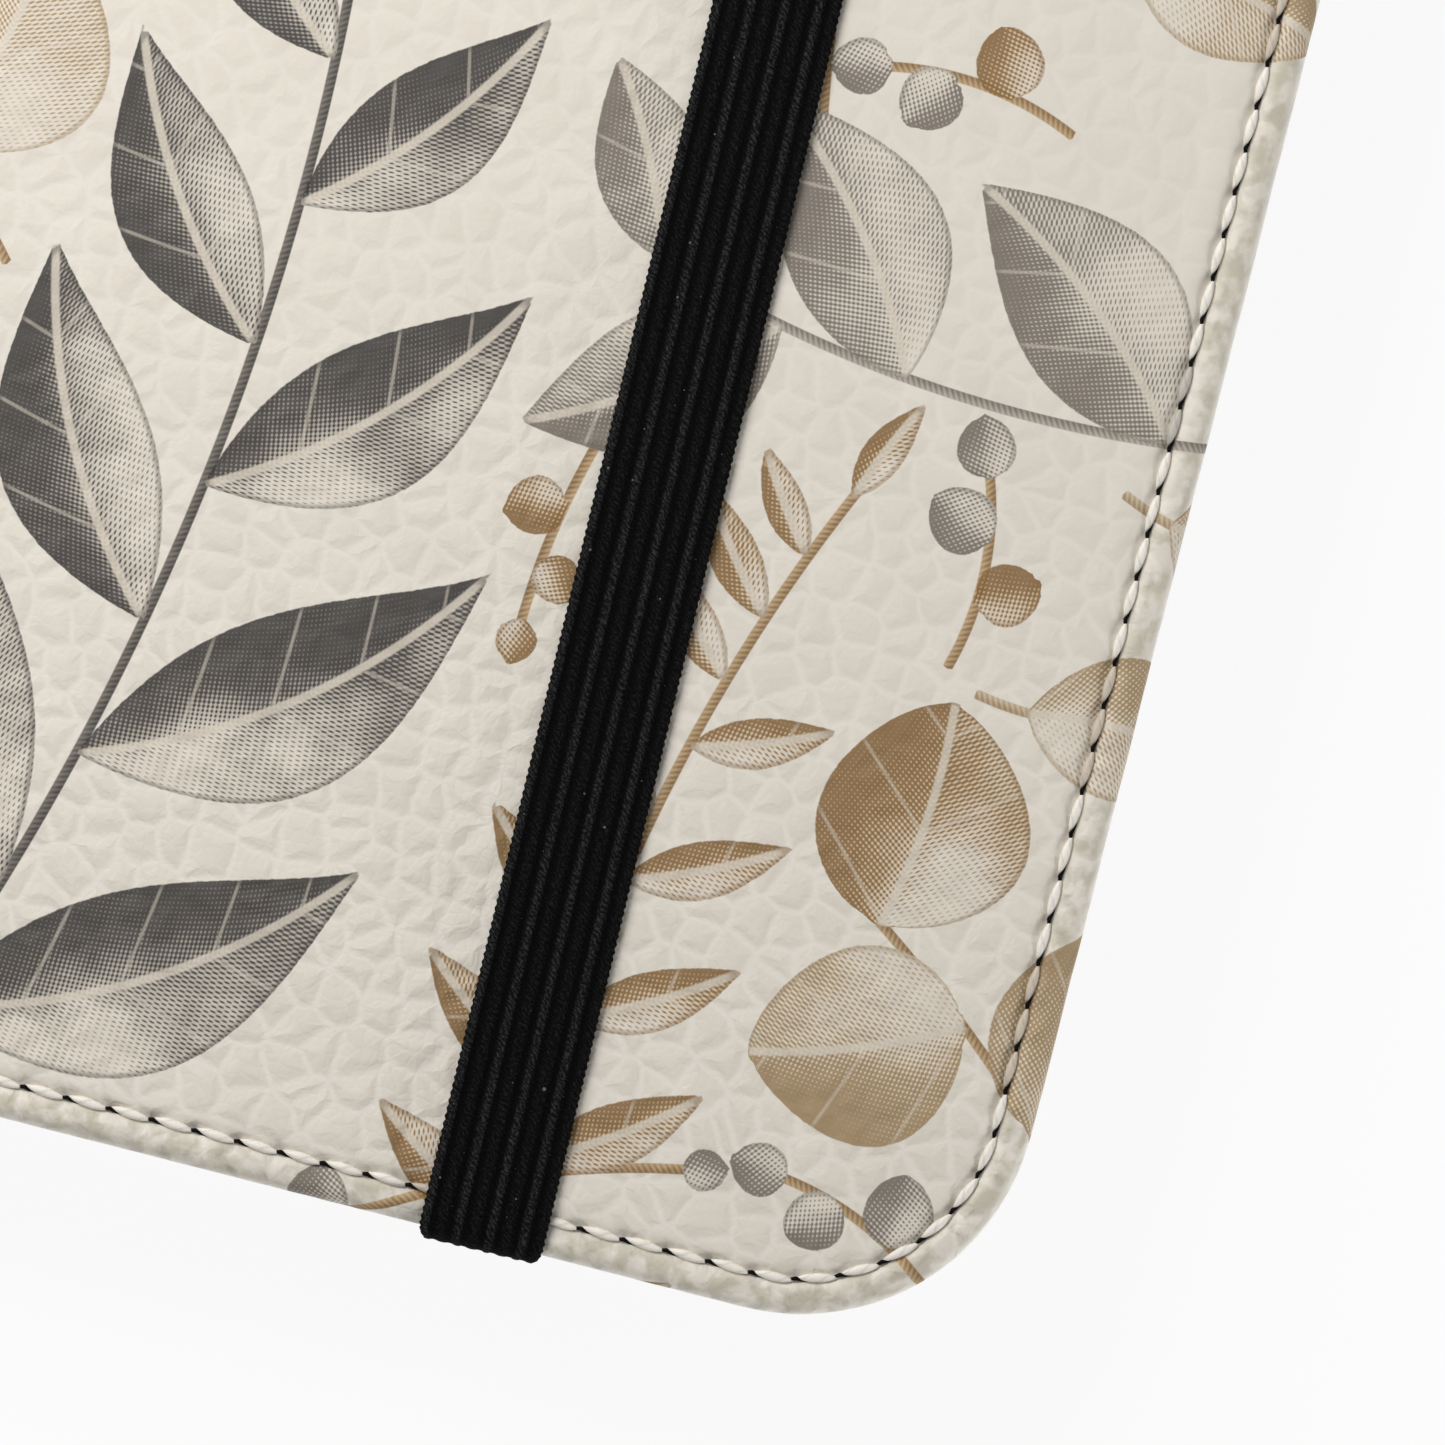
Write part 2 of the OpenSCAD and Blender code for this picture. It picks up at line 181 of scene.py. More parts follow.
def thickened(points, quads, fields, inner):
    """An open sheet made a closed solid: the sheet, its copy at the inner points turned over, and a wall on each border
    edge, which is an edge that only one quad has."""
    n = len(points)
    edges = np.stack([quads, np.roll(quads, -1, axis=1)], -1).reshape(-1, 2)
    edges = edges[edges[:, 0] != edges[:, 1]]
    _, back, count = np.unique(np.sort(edges, 1), axis=0, return_inverse=True, return_counts=True)
    start, stop = edges[count[back.reshape(-1)] == 1].T
    wall = np.stack([stop, start, start + n, stop + n], 1)
    return (chain(points, inner), chain(quads, quads[:, ::-1] + n, wall),
            {k: chain(f, f) for k, f in fields.items()})


def skin(points, quads, fields, thick):
    """A sheet made solid under its outer face, along the normal at each point: the sum of the area vectors of the quads
    that meet there, brought to length one."""
    area, normal = face_vectors(points, quads), np.zeros_like(points)
    for corner in range(4):
        np.add.at(normal, quads[:, corner], area)
    normal /= np.maximum(np.linalg.norm(normal, axis=1, keepdims=True), 1e-12)
    return thickened(points, quads, fields, points - thick * normal)


def backed(points, quads, fields, z):
    """A sheet made solid down to the level z."""
    return thickened(points, quads, fields, places(*points.T[:2], z))


def tube_quads(rings, around):
    """Quads of a closed tube of rings, with an even number of points round each: its sides and a strip of quads
    across each end."""
    k = np.arange(around // 2 - 1)
    cap = np.stack([k, k + 1, around - 2 - k, around - 1 - k], 1)
    return chain(grid_quads(rings, around, True), cap[:, ::-1], cap + (rings - 1) * around)


def joined(parts):
    """Several meshes as one, each part's quads counted on from the last part's points."""
    shift = np.cumsum([0] + [len(p[0]) for p in parts[:-1]])
    return (chain(*(p[0] for p in parts)), chain(*(p[1] + s for p, s in zip(parts, shift))),
            {k: chain(*(p[2][k] for p in parts)) for k in parts[0][2]})


def welded(points, quads, fields):
    """The same mesh with points that fall in one cell of the weld size made one."""
    cells = np.round(points / WELD).astype(np.int64)
    _, first, back = np.unique(cells, axis=0, return_index=True, return_inverse=True)
    return points[first], back.reshape(-1)[quads], {k: v[first] for k, v in fields.items()}


def make_piece(name, sheet, material, body=None, replaces=(), crisp=False):
    """A mesh object at the origin. A quad with two equal corners becomes a triangle, and each field becomes a point
    attribute of its name, a number or a vector. A crisp piece has its faces turned outwards and its shading split
    where a wall meets a face."""
    points, quads, fields = sheet
    same = quads == np.roll(quads, -1, axis=1)
    whole, three = quads[~same.any(1)], same.sum(1) == 1
    tris = quads[three][~same[three]].reshape(-1, 3)
    corners = chain(whole.ravel(), tris.ravel()).astype(np.int32)
    starts = chain(np.arange(len(whole)) * 4, len(whole) * 4 + np.arange(len(tris)) * 3)
    mesh = bpy.data.meshes.new(name)
    mesh.vertices.add(len(points))
    mesh.vertices.foreach_set("co", (points * MM).astype(np.float32).ravel())
    mesh.loops.add(len(corners))
    mesh.loops.foreach_set("vertex_index", corners)
    mesh.polygons.add(len(starts))
    mesh.polygons.foreach_set("loop_start", starts.astype(np.int32))
    mesh.polygons.foreach_set("use_smooth", np.ones(len(starts), bool))
    mesh.update(calc_edges=True)
    mesh.validate()
    for key, value in fields.items():
        kind, item = ("FLOAT_VECTOR", "vector") if value.ndim == 2 else ("FLOAT", "value")
        layer = mesh.attributes.new(key, kind, "POINT")
        layer.data.foreach_set(item, value.astype(np.float32).ravel())
    mesh.materials.append(material)
    if crisp:
        shape = bmesh.new()
        shape.from_mesh(mesh)
        bmesh.ops.recalc_face_normals(shape, faces=shape.faces)
        shape.to_mesh(mesh)
        shape.free()
        mesh.set_sharp_from_angle(angle=CRISP_ANGLE)
    piece = placed(name, mesh)
    if replaces:
        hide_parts(*replaces)
    if body:
        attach(piece, body)
    return piece


# Materials

def plug(tree, socket, value):
    """Links a socket to another node's output, or sets it to a constant: a text is a hex colour, None no change."""
    if isinstance(value, bpy.types.NodeSocket):
        tree.links.new(value, socket)
    elif value is not None:
        socket.default_value = rgba(value) if isinstance(value, str) else value


# The property that the second word of a node's kind sets, where it isn't the operation
WORDS = {"Attribute": "attribute_name", "Mix": "data_type", "MapRange": "interpolation_type",
         "TexNoise": "noise_dimensions"}


def add(tree, kind, *values, **settings):
    """Adds a node: a second word of its kind sets its main property, settings are others, and values fill the sockets
    that are then in use, in order. Gives its output, or all of them where several are in use."""
    kind, _, word = kind.partition(" ")
    made = tree.nodes.new("ShaderNode" + kind)
    if word:
        setattr(made, WORDS.get(kind, "operation"), word)
    for key, value in settings.items():
        setattr(made, key, value)
    for socket, value in zip([s for s in made.inputs if s.enabled], values):
        plug(tree, socket, value)
    used = [s for s in made.outputs if s.enabled]
    return used[0] if len(used) == 1 else made.outputs


def new_material(name, **constants):
    """A node material with its Principled shader's constant sockets set. Gives a function that adds a node to it, and
    one that plugs the shader's other sockets and returns the material."""
    material = bpy.data.materials.new(name)
    material.use_nodes = True
    tree = material.node_tree

    def finish(**sockets):
        for key, value in sockets.items():
            plug(tree, tree.nodes["Principled BSDF"].inputs[key.replace("_", " ")], value)
        return material

    finish(**constants)
    return partial(add, tree), finish


CELLS = {"voronoi_dimensions": "2D", "feature": "DISTANCE_TO_EDGE"}
# Printed inks, one pair for each tone: the full ink and its thin wash
INKS = [("#86663c", "#d3b78e"), ("#a08763", "#dccdb4"), ("#776e64", "#c8c0b4"), ("#2f2c2b", "#857d74")]
OCHRE, TAN, TAUPE, CHARCOAL = 0.0, 1.0, 2.0, 3.0


def printed_leathercloth():
    """Cotton cloth coated with polyurethane, embossed with a pebble grain and printed.
    It gives the eye soft low gloss, fine creases that catch light with pale highlights painted along them, and inks
    drawn in hatched lines."""
    node, finish = new_material("printed_pu_leathercloth", IOR=1.46, Specular_IOR_Level=0.3)
    leaf, look, stem, sheet = (node("Attribute " + name)["Vector"] for name in ("leaf", "look", "stem", "sheet"))
    stem_side = node("Attribute stem_side")["Fac"]
    away, along, across = node("SeparateXYZ", leaf)
    tone, shade, inset = node("SeparateXYZ", look)
    stem_away, stem_along, stem_tone = node("SeparateXYZ", stem)
    low = node("SeparateXYZ", sheet)[1]

    # Engraved hatching follows the veins; its real pitch is about 0.3 mm, drawn at 0.32 so that it shows
    hatch_pitch, bar_pitch = 0.32, 0.38
    side = node("Math ABSOLUTE", across)
    slant = node("Math MULTIPLY_ADD", side, -0.62, along)
    cross = node("Math MULTIPLY_ADD", along, 0.4, across)
    lines = 0.5
    for place, weight in ((slant, 0.26), (cross, 0.2)):
        wave = node("Math SINE", node("Math MULTIPLY", place, tau / hatch_pitch))
        lines = node("Math MULTIPLY_ADD", wave, weight, lines)
    wash = node("TexNoise 2D", sheet, 1 / 7.0, 3.0)[0]
    deep = node("Math SUBTRACT", node("Math MULTIPLY_ADD", wash, 0.7, shade), 0.35)
    inked = node("MapRange", node("Math SUBTRACT", deep, lines), -0.2, 0.2)

    # Inks by tone, in steps
    ramps = []
    for which, source in ((0, tone), (1, tone), (0, stem_tone), (1, stem_tone)):
        ramps.append(node("ValToRGB", node("Math MULTIPLY_ADD", source, 0.25, 0.125))[0])
        ramp = ramps[-1].node.color_ramp
        ramp.interpolation = "CONSTANT"
        while len(ramp.elements) < len(INKS):
            ramp.elements.new(0.5)
        for i, pair in enumerate(INKS):
            ramp.elements[i].position = i * 0.25
            ramp.elements[i].color = rgba(pair[which])
    full, thin, stem_ink, stem_pale = ramps
    gap = node("Mix RGBA", node("MapRange", deep, 0.2, 0.75), "#ded5c7", thin)
    leaf_ink = node("Mix RGBA", inked, gap, full)

    # A pale midrib and side veins, and a darker line just inside the outline
    rib = node("MapRange", side, 0.34, 0.2, 0, 0.8)
    vein = node("Math PINGPONG", node("Math MULTIPLY_ADD", side, -0.85, along), 3.1)
    vein = node("MapRange", vein, 0.2, 0.08, 0, 0.4)
    leaf_ink = node("Mix RGBA", node("Math MAXIMUM", rib, vein), leaf_ink, "#d6ccbc")
    outline = node("MapRange", away, -0.42, -0.16, 0, 0.5)
    leaf_ink = node("Mix RGBA", outline, leaf_ink, full)

    # Pebbles about 2.4 mm across, pulled out of square by a slow warp
    warp = node("TexNoise 2D", sheet, 1 / 3.0, 2.0)[1]
    pulled = node("VectorMath MULTIPLY_ADD", warp, (1.0, 1.0, 0.0), sheet)
    border = node("TexVoronoi", pulled, 1 / 2.4, None, None, None, 0.8, **CELLS)

    # Cream ground, a little mottled, with pale highlights painted along the pebble borders, stronger towards the foot
    # of the case, grey-green in patches along the rolled rim, and a pale highlight painted on its outer edge
    blotch = node("TexNoise 2D", sheet, 1 / 5.0, 4.0)[0]
    ground = node("Mix RGBA", blotch, "#e5ded2", "#dbd3c6")
    # Painted highlight: pale lines along the pebble borders, stronger towards the foot of the case
    crease_highlight = node("MapRange SMOOTHERSTEP", border, 0.16, 0.0)
    towards_foot = node("MapRange", low, -5.0, -60.0, 0.15, 0.4)
    ground = node("Mix RGBA", node("Math MULTIPLY", crease_highlight, towards_foot), ground, "#f0ebe2")
    patch = node("MapRange", node("TexNoise 2D", sheet, 1 / 1.7, 3.0)[0], 0.42, 0.6)
    rolled = node("MapRange", inset, 2.7, 1.5, 0, 0.8)
    on_top = node("MapRange", inset, -0.3, 0.6)
    rim = node("Math MULTIPLY", node("Math MULTIPLY", rolled, patch), on_top)
    ground = node("Mix RGBA", rim, ground, "#bfb9a6")
    # Painted highlight: the outermost part of the rolled rim made paler
    edge_highlight = node("MapRange", inset, 0.35, -0.5, 0, 0.8)
    ground = node("Mix RGBA", edge_highlight, ground, "#f4f0e8")

    # Leaves with a slightly ragged outline over stems barred like a cord
    ragged = node("TexNoise 2D", sheet, 1 / 0.5, 2.0)[0]
    leaf_mask = node("MapRange", node("Math MULTIPLY_ADD", ragged, 0.12, away), 0.1, 0.02, 0, 0.95)
    stem_mask = node("MapRange", node("Math ABSOLUTE", stem_side), 0.36, 0.28, 0, 0.95)
    stem_mask = node("Math MULTIPLY", stem_mask, node("Math LESS_THAN", stem_away, 0.6))
    bars = node("Math MULTIPLY_ADD", stem_side, 0.6, stem_along)
    bars = node("Math SINE", node("Math MULTIPLY", bars, tau / bar_pitch))
    stem_lit = node("MapRange", node("Math MULTIPLY_ADD", bars, 0.24, stem_side), -0.3, 0.35, 0, 0.65)
    stem_ink = node("Mix RGBA", stem_lit, stem_ink, stem_pale)
    colour = node("Mix RGBA", stem_mask, ground, stem_ink)
    colour = node("Mix RGBA", leaf_mask, colour, leaf_ink)

    # Sunk borders between the pebbles, deeper towards the foot of the case, and pores about 0.7 mm across
    raised = node("MapRange SMOOTHSTEP", border, 0.0, 0.42)
    pores = node("TexVoronoi", pulled, 1 / 0.7, **CELLS)
    pucker = node("TexNoise 2D", sheet, 1 / 1.2, 5.0)[0]
    height = node("Math MULTIPLY_ADD", node("MapRange", pores, 0.0, 0.22), 0.1, raised)
    height = node("Math MULTIPLY_ADD", pucker, 0.2, height)
    bold = node("MapRange", low, -10.0, -60.0, 0.45, 0.95)
    bold = node("Math MULTIPLY_ADD", rolled, 0.35, bold)
    return finish(Base_Color=colour, Normal=node("Bump", bold, 0.00013, None, height),
                  Roughness=node("MapRange", blotch, 0.3, 0.7, 0.52, 0.62))


def twisted_thread(name, gloss):
    """Two-ply polyester sewing thread: satin plies wound round each other with painted shade in the crease between
    them, a little fuzzy. The dye attribute lets the cover's print run over the stitches."""
    node, finish = new_material(name, Roughness=0.6, Specular_IOR_Level=gloss)
    dye = node("Attribute dye")["Color"]
    spin = node("Attribute spin")["Vector"]
    fibre = node("TexNoise", spin, 1.0, 2.0)[0]
    # Painted shade in the crease between the plies, multiplied into the thread's colour
    crease = node("MapRange", node("Math SINE", node("SeparateXYZ", spin)[2]), -1.0, -0.55, 0.84, 1.0)
    shade = node("Math MULTIPLY", node("MapRange", fibre, 0.3, 0.7, 0.9, 1.0), crease)
    height = node("Math MULTIPLY_ADD", fibre, 0.5, crease)
    return finish(Base_Color=node("Mix RGBA", 1.0, dye, shade, blend_type="MULTIPLY"),
                  Normal=node("Bump", 0.5, 0.00004, None, height))


def ribbed_elastic():
    """Black polyester knitted over rubber cords: dull and fibrous, with a slanting braid and a little lint. Painted
    light:
    the rib tops lighter, alternate ribs more, and painted shade in the grooves between ribs. The braid's strands are
    about
    0.2 mm, drawn at 0.34 so that they show."""
    node, finish = new_material("knitted_elastic", Roughness=0.75, Specular_IOR_Level=0.02)
    strand_pitch = 0.34
    knit = node("Attribute knit")["Vector"]
    # Painted highlight on the rib tops and painted shade in the grooves between them, read from the loop field
    light = node("Attribute loop")["Fac"]
    along, across, _ = node("SeparateXYZ", knit)
    stray = node("TexNoise 2D", knit, 1 / 0.6)[0]
    lean = node("Math MULTIPLY_ADD", across, 0.8, along)
    lean = node("Math MULTIPLY_ADD", stray, 0.9, lean)
    strand = node("Math SINE", node("Math MULTIPLY", lean, tau / strand_pitch))
    strand = node("MapRange", strand, -0.7, 0.9, 0.2, 1.0)
    fibre = node("TexNoise 2D", knit, 1 / 0.22, 3.0)[0]
    braid = node("Math MULTIPLY", strand, node("MapRange", fibre, 0.35, 0.7, 0.25, 1.2))
    colour = node("Mix RGBA", node("Math MULTIPLY", braid, light), "#060606", "#353536")
    lint, hue = node("TexVoronoi", knit, 1 / 1.7, voronoi_dimensions="2D")[:2]
    large = node("Math MULTIPLY_ADD", node("Math POWER", hue, 7.0), 0.08, 0.004)
    speck = node("Math MULTIPLY", node("Math LESS_THAN", lint, large), 0.5)
    colour = node("Mix RGBA", speck, colour, "#8a8988")
    return finish(Base_Color=colour, Normal=node("Bump", 0.7, 0.00006, None, braid))


def brushed_microfibre():
    """Brushed polyester microfibre: a soft dark nap that lies in patches and glows at grazing angles."""
    node, finish = new_material("brushed_microfibre", Roughness=0.95, Specular_IOR_Level=0.2, Sheen_Weight=0.35,
                                Sheen_Roughness=0.5)
    place = node("TexCoord")["Object"]
    nap = node("TexNoise", place, 1 / 0.006, 5.0, 0.6)[0]
    fibre = node("TexNoise", place, 1 / 0.0004, 2.0)[0]
    both = node("Math MULTIPLY_ADD", fibre, 0.5, nap)
    colour = node("Mix RGBA", node("MapRange", both, 0.5, 1.0), "#2a2828", "#403d3c")
    return finish(Base_Color=colour, Normal=node("Bump", 0.5, 0.0001, None, both))


def fine_pocket_leather():
    """Thin split leather for pockets: tight grain about 0.8 mm across, satin, with painted shade in the grain's hollows
    and where creased.
    """
    node, finish = new_material("fine_grain_pocket_leather", IOR=1.46, Specular_IOR_Level=0.35)
    place = node("TexCoord")["Object"]
    raised = node("MapRange", node("TexVoronoi", place, 1 / 0.0008, feature="DISTANCE_TO_EDGE"), 0.0, 0.2)
    patch = node("TexNoise", place, 1 / 0.01, 4.0)[0]
    # Painted shade: the grain's hollows darker and its raised tops lighter
    lit = node("MapRange", node("Math MULTIPLY_ADD", raised, 0.6, patch), 0.4, 1.2)
    colour = node("Mix RGBA", lit, "#3a3634", "#585250")
    # Painted shade where the pocket's face sinks along a crease or a sewn edge
    creased = node("Attribute crease")["Fac"]
    return finish(Base_Color=node("Mix RGBA", creased, colour, "#1d1a19"),
                  Roughness=node("MapRange", patch, 0.3, 0.7, 0.48, 0.6),
                  Normal=node("Bump", 0.6, 0.0001, None, raised))


def speckled_solid(name, dark, pale, grit, rough, depth, **constants):
    """A plain moulded, pressed or foamed solid: two close colours in specks of the grit's size, with the same grit
    as bump."""
    node, finish = new_material(name, **constants)
    place = node("TexCoord")["Object"]
    speck = node("TexNoise", place, 1 / grit, 4.0)[0]
    cloud = node("TexNoise", place, 1 / 0.015, 3.0)[0]
    both = node("Math MULTIPLY_ADD", cloud, 0.6, speck)
    return finish(Base_Color=node("Mix RGBA", node("MapRange", both, 0.5, 1.1), dark, pale),
                  Roughness=node("MapRange", both, 0.5, 1.1, rough, rough + 0.1),
                  Normal=node("Bump", 0.5, depth, None, speck))


LEATHER = printed_leathercloth()
THREAD = twisted_thread("cream_polyester_thread", 0.4)
BLACK_THREAD = twisted_thread("black_polyester_thread", 0.06)
ELASTIC = ribbed_elastic()
LINING = brushed_microfibre()
POCKET = fine_pocket_leather()
# Polycarbonate, spark-eroded mould: even, dull, faintly pebbled
SHELL = speckled_solid("moulded_polycarbonate", "#38383a", "#4b4b4e", 0.0006, 0.4, 0.00006, IOR=1.58)
# Grey bookbinder's board: pressed waste paper with pale and dark fibres
BOARD = speckled_solid("pressed_greyboard", "#7f766a", "#9c9284", 0.0009, 0.85, 0.00008)
# Closed-cell foam tape: dull and finely pitted
FOAM = speckled_solid("closed_cell_foam", "#5b5f64", "#70757b", 0.0005, 0.85, 0.0001)


# Print: sprays of leaves on bent stems, repeated over the flat sheet of leather
# Each habit: leaf length, half width, gap along the stem, lean from the stem, two tones, outline power, leaves at a
# node and the fewest leaves that make a spray
HABITS = {
    "willow": (29.0, 5.8, 9.4, 38, (CHARCOAL, CHARCOAL), 1.1, 1, 2),
    "bay": (21.0, 5.6, 8.6, 46, (TAUPE, CHARCOAL), 0.95, 1, 2),
    "round": (15.0, 7.0, 8.4, 60, (TAN, OCHRE), 0.62, 1, 2),
    "fern": (13.0, 2.2, 4.7, 56, (OCHRE, OCHRE), 0.95, 2, 3),
    "berry": (4.6, 2.2, 4.0, 58, (OCHRE, TAUPE), 0.5, 1, 3),
    "fallen": (15.0, 4.8, 3.0, 0, (TAN, TAUPE), 0.85, 1, 1),
    "sprig": (7.4, 1.9, 3.6, 46, (TAUPE, OCHRE), 0.9, 2, 4),
}
TILE_U, TILE_V = 83.0, 88.0
# Each spray: start across and along the sheet, heading, length, bend per mm, habit
SPRAYS = [
    (17.0, -82.0, 66, 84.0, 0.006, "willow"),
    (62.0, -92.0, 100, 66.0, -0.009, "fern"),
    (97.0, -70.0, 131, 58.0, 0.010, "round"),
    (97.0, -18.0, 192, 50.0, -0.012, "bay"),
    (84.0, -92.0, 84, 34.0, 0.016, "bay"),
    (42.0, -86.0, 44, 34.0, -0.018, "berry"),
    (60.0, -14.0, 236, 30.0, 0.02, "berry"),
    (13.0, -34.0, 25, 26.0, 0.03, "fern"),
]
# Stem lengths of the small sprays that fill the gaps, tried in this order on a jittered lattice
FILL_STEP, FILL_BEND, FILLS = 6.5, 0.05, (("fallen", 3.0), ("sprig", 13.0), ("berry", 12.0))
# The sheet that is probed for room, half its size and the probes' spacing, and the gap that a leaf keeps
PROBE_U, PROBE_V, PROBE, LEAF_GAP = 100, 86, 0.8, 0.5
# Sprays that start further out than this are left out; a leaf's bend per mm, and the share of leaves in the first tone
FAR_U, FAR_V, LEAF_BEND, FIRST_TONE = 180, 160, 0.012, 0.62
# Added to the place across a round berry, known by its outline power, so that it is hatched one way and has no midrib
NO_RIB, BERRY_POWER = 6.0, 0.55


def chance(a, b):
    """A share between 0 and 1 that looks random but is fixed by two numbers: the fraction of a large sine."""
    h = math.sin(a * 127.1 + b * 311.7) * 43758.5453
    return h - math.floor(h)


def on_stem(u, v, turn, bend, s):
    """Place and heading at length s along a stem, an arc whose heading turns by bend per mm."""
    angle = turn + bend * s
    return u + (math.sin(angle) - math.sin(turn)) / bend, v - (math.cos(angle) - math.cos(turn)) / bend, angle


def print_plan():
    """Stems and leaves of every spray, then of small ones in the gaps. Leaves leave a stem by turns to the left and
    right, shorter towards its tip. A leaf that comes within a gap of one already placed is left out, a spray with too
    few leaves goes with it, and a stem runs only from its first leaf to its last."""
    probe_u, probe_v = np.meshgrid(np.arange(-PROBE_U, PROBE_U, PROBE), np.arange(-PROBE_V, PROBE_V, PROBE))
    taken = np.full(probe_u.shape, 9.0)
    stems, leaves = [], []
    tiles = [(i, j) for i in range(-3, 2) for j in range(-2, 3)]
    sprays = [(u + i * TILE_U, v + j * TILE_V + (i % 2) * TILE_V / 2, radians(turn), length, bend, habit)
              for u, v, turn, length, bend, habit in SPRAYS for i, j in tiles]
    lattice = [(i, j) for i in range(-15, 16) for j in range(-13, 14)]
    sprays += [((i + chance(i + n, j)) * FILL_STEP, (j + chance(i + 9, j + n)) * FILL_STEP,
                tau * chance(i + 0.3 * n, j + 5), length, FILL_BEND, habit)
               for n, (habit, length) in enumerate(FILLS) for i, j in lattice]
    for su, sv, turn, length, bend, habit in sprays:
        if abs(su) > FAR_U or abs(sv) > FAR_V:
            continue
        leaf_l, half, gap, lean, tones, power, count, least = HABITS[habit]
        kept, at, held = [], [], []
        for k, s in enumerate(np.arange(gap, length + gap / 2, gap)):
            s = min(s, length)
            pu, pv, angle = on_stem(su, sv, turn, bend, s)
            size = (1.0 - 0.45 * (s / max(length, 20.0)) ** 2) * (0.92 + 0.16 * chance(k, su))
            last = s >= length - gap / 2
            for way in [0] if last else ([1, -1] if count == 2 else [1 if k % 2 else -1]):
                tone = tones[1 if chance(k + way, sv) > FIRST_TONE else 0]
                leaf = (pu, pv, angle + way * radians(lean), leaf_l * size, half * size,
                        LEAF_BEND * (way or 1), tone, power)
                near = tuple(slice(max(0, int((c - leaf[3] + e) / PROBE)), max(0, int((c + leaf[3] + e) / PROBE)))
                             for c, e in ((pv, PROBE_V), (pu, PROBE_U)))
                reach, room = leaf_outline(leaf, probe_u[near], probe_v[near])[0], taken[near]
                if not ((reach < LEAF_GAP) & (room < LEAF_GAP)).any():
                    held.append((near, room.copy()))
                    taken[near] = np.minimum(room, reach)
                    kept.append(leaf)
                    at.append(s)
        if len(kept) < least:
            for near, room in held[::-1]:
                taken[near] = room
        else:
            leaves += kept
            first = max(0.0, min(at) - gap)
            stems.append((*on_stem(su, sv, turn, bend, first), max(at) - first, bend, min(tones)))
    return stems, leaves


def leaf_outline(leaf, u, v):
    """Distance from a leaf's outline, less than nothing inside it, with the place along and across the leaf.
    Its half width is the sine of pi times its share along, to a power; its midrib is a shallow parabola."""
    u0, v0, heading, length, half, bend, _, power = leaf
    c, s = math.cos(heading), math.sin(heading)
    along = (u - u0) * c + (v - v0) * s
    across = (v - v0) * c - (u - u0) * s
    share = np.clip(along / length, 0.0, 1.0)
    across = across - bend * along * (length - along) * (along > 0) * (along < length)
    wide = half * np.sin(pi * np.clip(share, 1e-4, 1 - 1e-4) ** 0.85) ** power
    slope = half * power * pi / length * np.abs(np.cos(pi * share)) * (wide / half + 0.05)
    over = np.where(along < 0, -along, np.where(along > length, along - length, 0.0))
    beside = np.abs(across) - wide
    away = np.where(over > 0, np.hypot(over, np.maximum(beside, 0)), beside / np.sqrt(1 + slope ** 2))
    return away, along, across, across / np.maximum(wide, 0.2)


STEMS, LEAVES = print_plan()


def printed(u, v):
    """Print fields at points of the flat sheet: the nearest leaf's distance, place along and across it, its tone and
    how dark it is there; then the nearest stem's distance, place along it, its tone and its signed side."""
    leaf = np.tile([2.0, 0.0, 0.0], (len(u), 1))
    look, stem, side = np.zeros((len(u), 3)), np.full((len(u), 3), 2.0), np.zeros(len(u))
    for spec in LEAVES:
        near = np.nonzero(np.hypot(u - spec[0], v - spec[1]) < spec[3] + 2.0)[0]
        away, along, across, share = leaf_outline(spec, u[near], v[near])
        closer = away < leaf[near, 0]
        spot = near[closer]
        leaf[spot] = places(away, along, across + (NO_RIB if spec[7] < BERRY_POWER else 0.0))[closer]
        dark = 0.55 + 0.28 * np.tanh(2.2 * share) - 0.2 * np.cos(2.6 * along / spec[3]) + 0.12 * np.abs(share)
        look[spot, :2] = np.stack([np.full(near.shape, spec[6]), dark], 1)[closer]
    for su, sv, turn, length, bend, tone in STEMS:
        near = np.nonzero(np.hypot(u - su, v - sv) < length + 2.0)[0]
        du, dv = u[near] - (su - math.sin(turn) / bend), v[near] - (sv + math.cos(turn) / bend)
        flip = math.copysign(1.0, bend)
        angle = np.arctan2(flip * du, -flip * dv) - turn
        s = ((angle + pi) % tau - pi) / bend
        signed = flip * (1 / abs(bend) - np.hypot(du, dv))
        beyond = np.where(s < 0, -s, np.where(s > length, s - length, 0.0))
        plain = np.hypot(signed, beyond)
        closer = plain < stem[near, 0]
        spot = near[closer]
        stem[spot] = places(plain, s, tone)[closer]
        side[spot] = signed[closer]
    return leaf, look, stem, side


# Leather

def cell_borders(u, v, cell, seed):
    """How far a point is inside its cell: the second nearest jittered centre's distance less the nearest's,
    in cells, with one centre in each square of the sheet."""
    u, v = u / cell, v / cell
    first = np.full(u.shape, 9.0)
    second = first.copy()
    for du, dv in [(i, j) for i in (-1, 0, 1) for j in (-1, 0, 1)]:
        cu, cv = np.floor(u) + du, np.floor(v) + dv
        ju = np.sin(cu * 127.1 + cv * 311.7 + seed) * 43758.5453
        jv = np.sin(cu * 269.5 + cv * 183.3 + seed) * 43758.5453
        apart = np.hypot(cu + (ju - np.floor(ju)) - u, cv + (jv - np.floor(jv)) - v)
        second = np.where(apart < first, first, np.minimum(second, apart))
        first = np.minimum(first, apart)
    return second - first


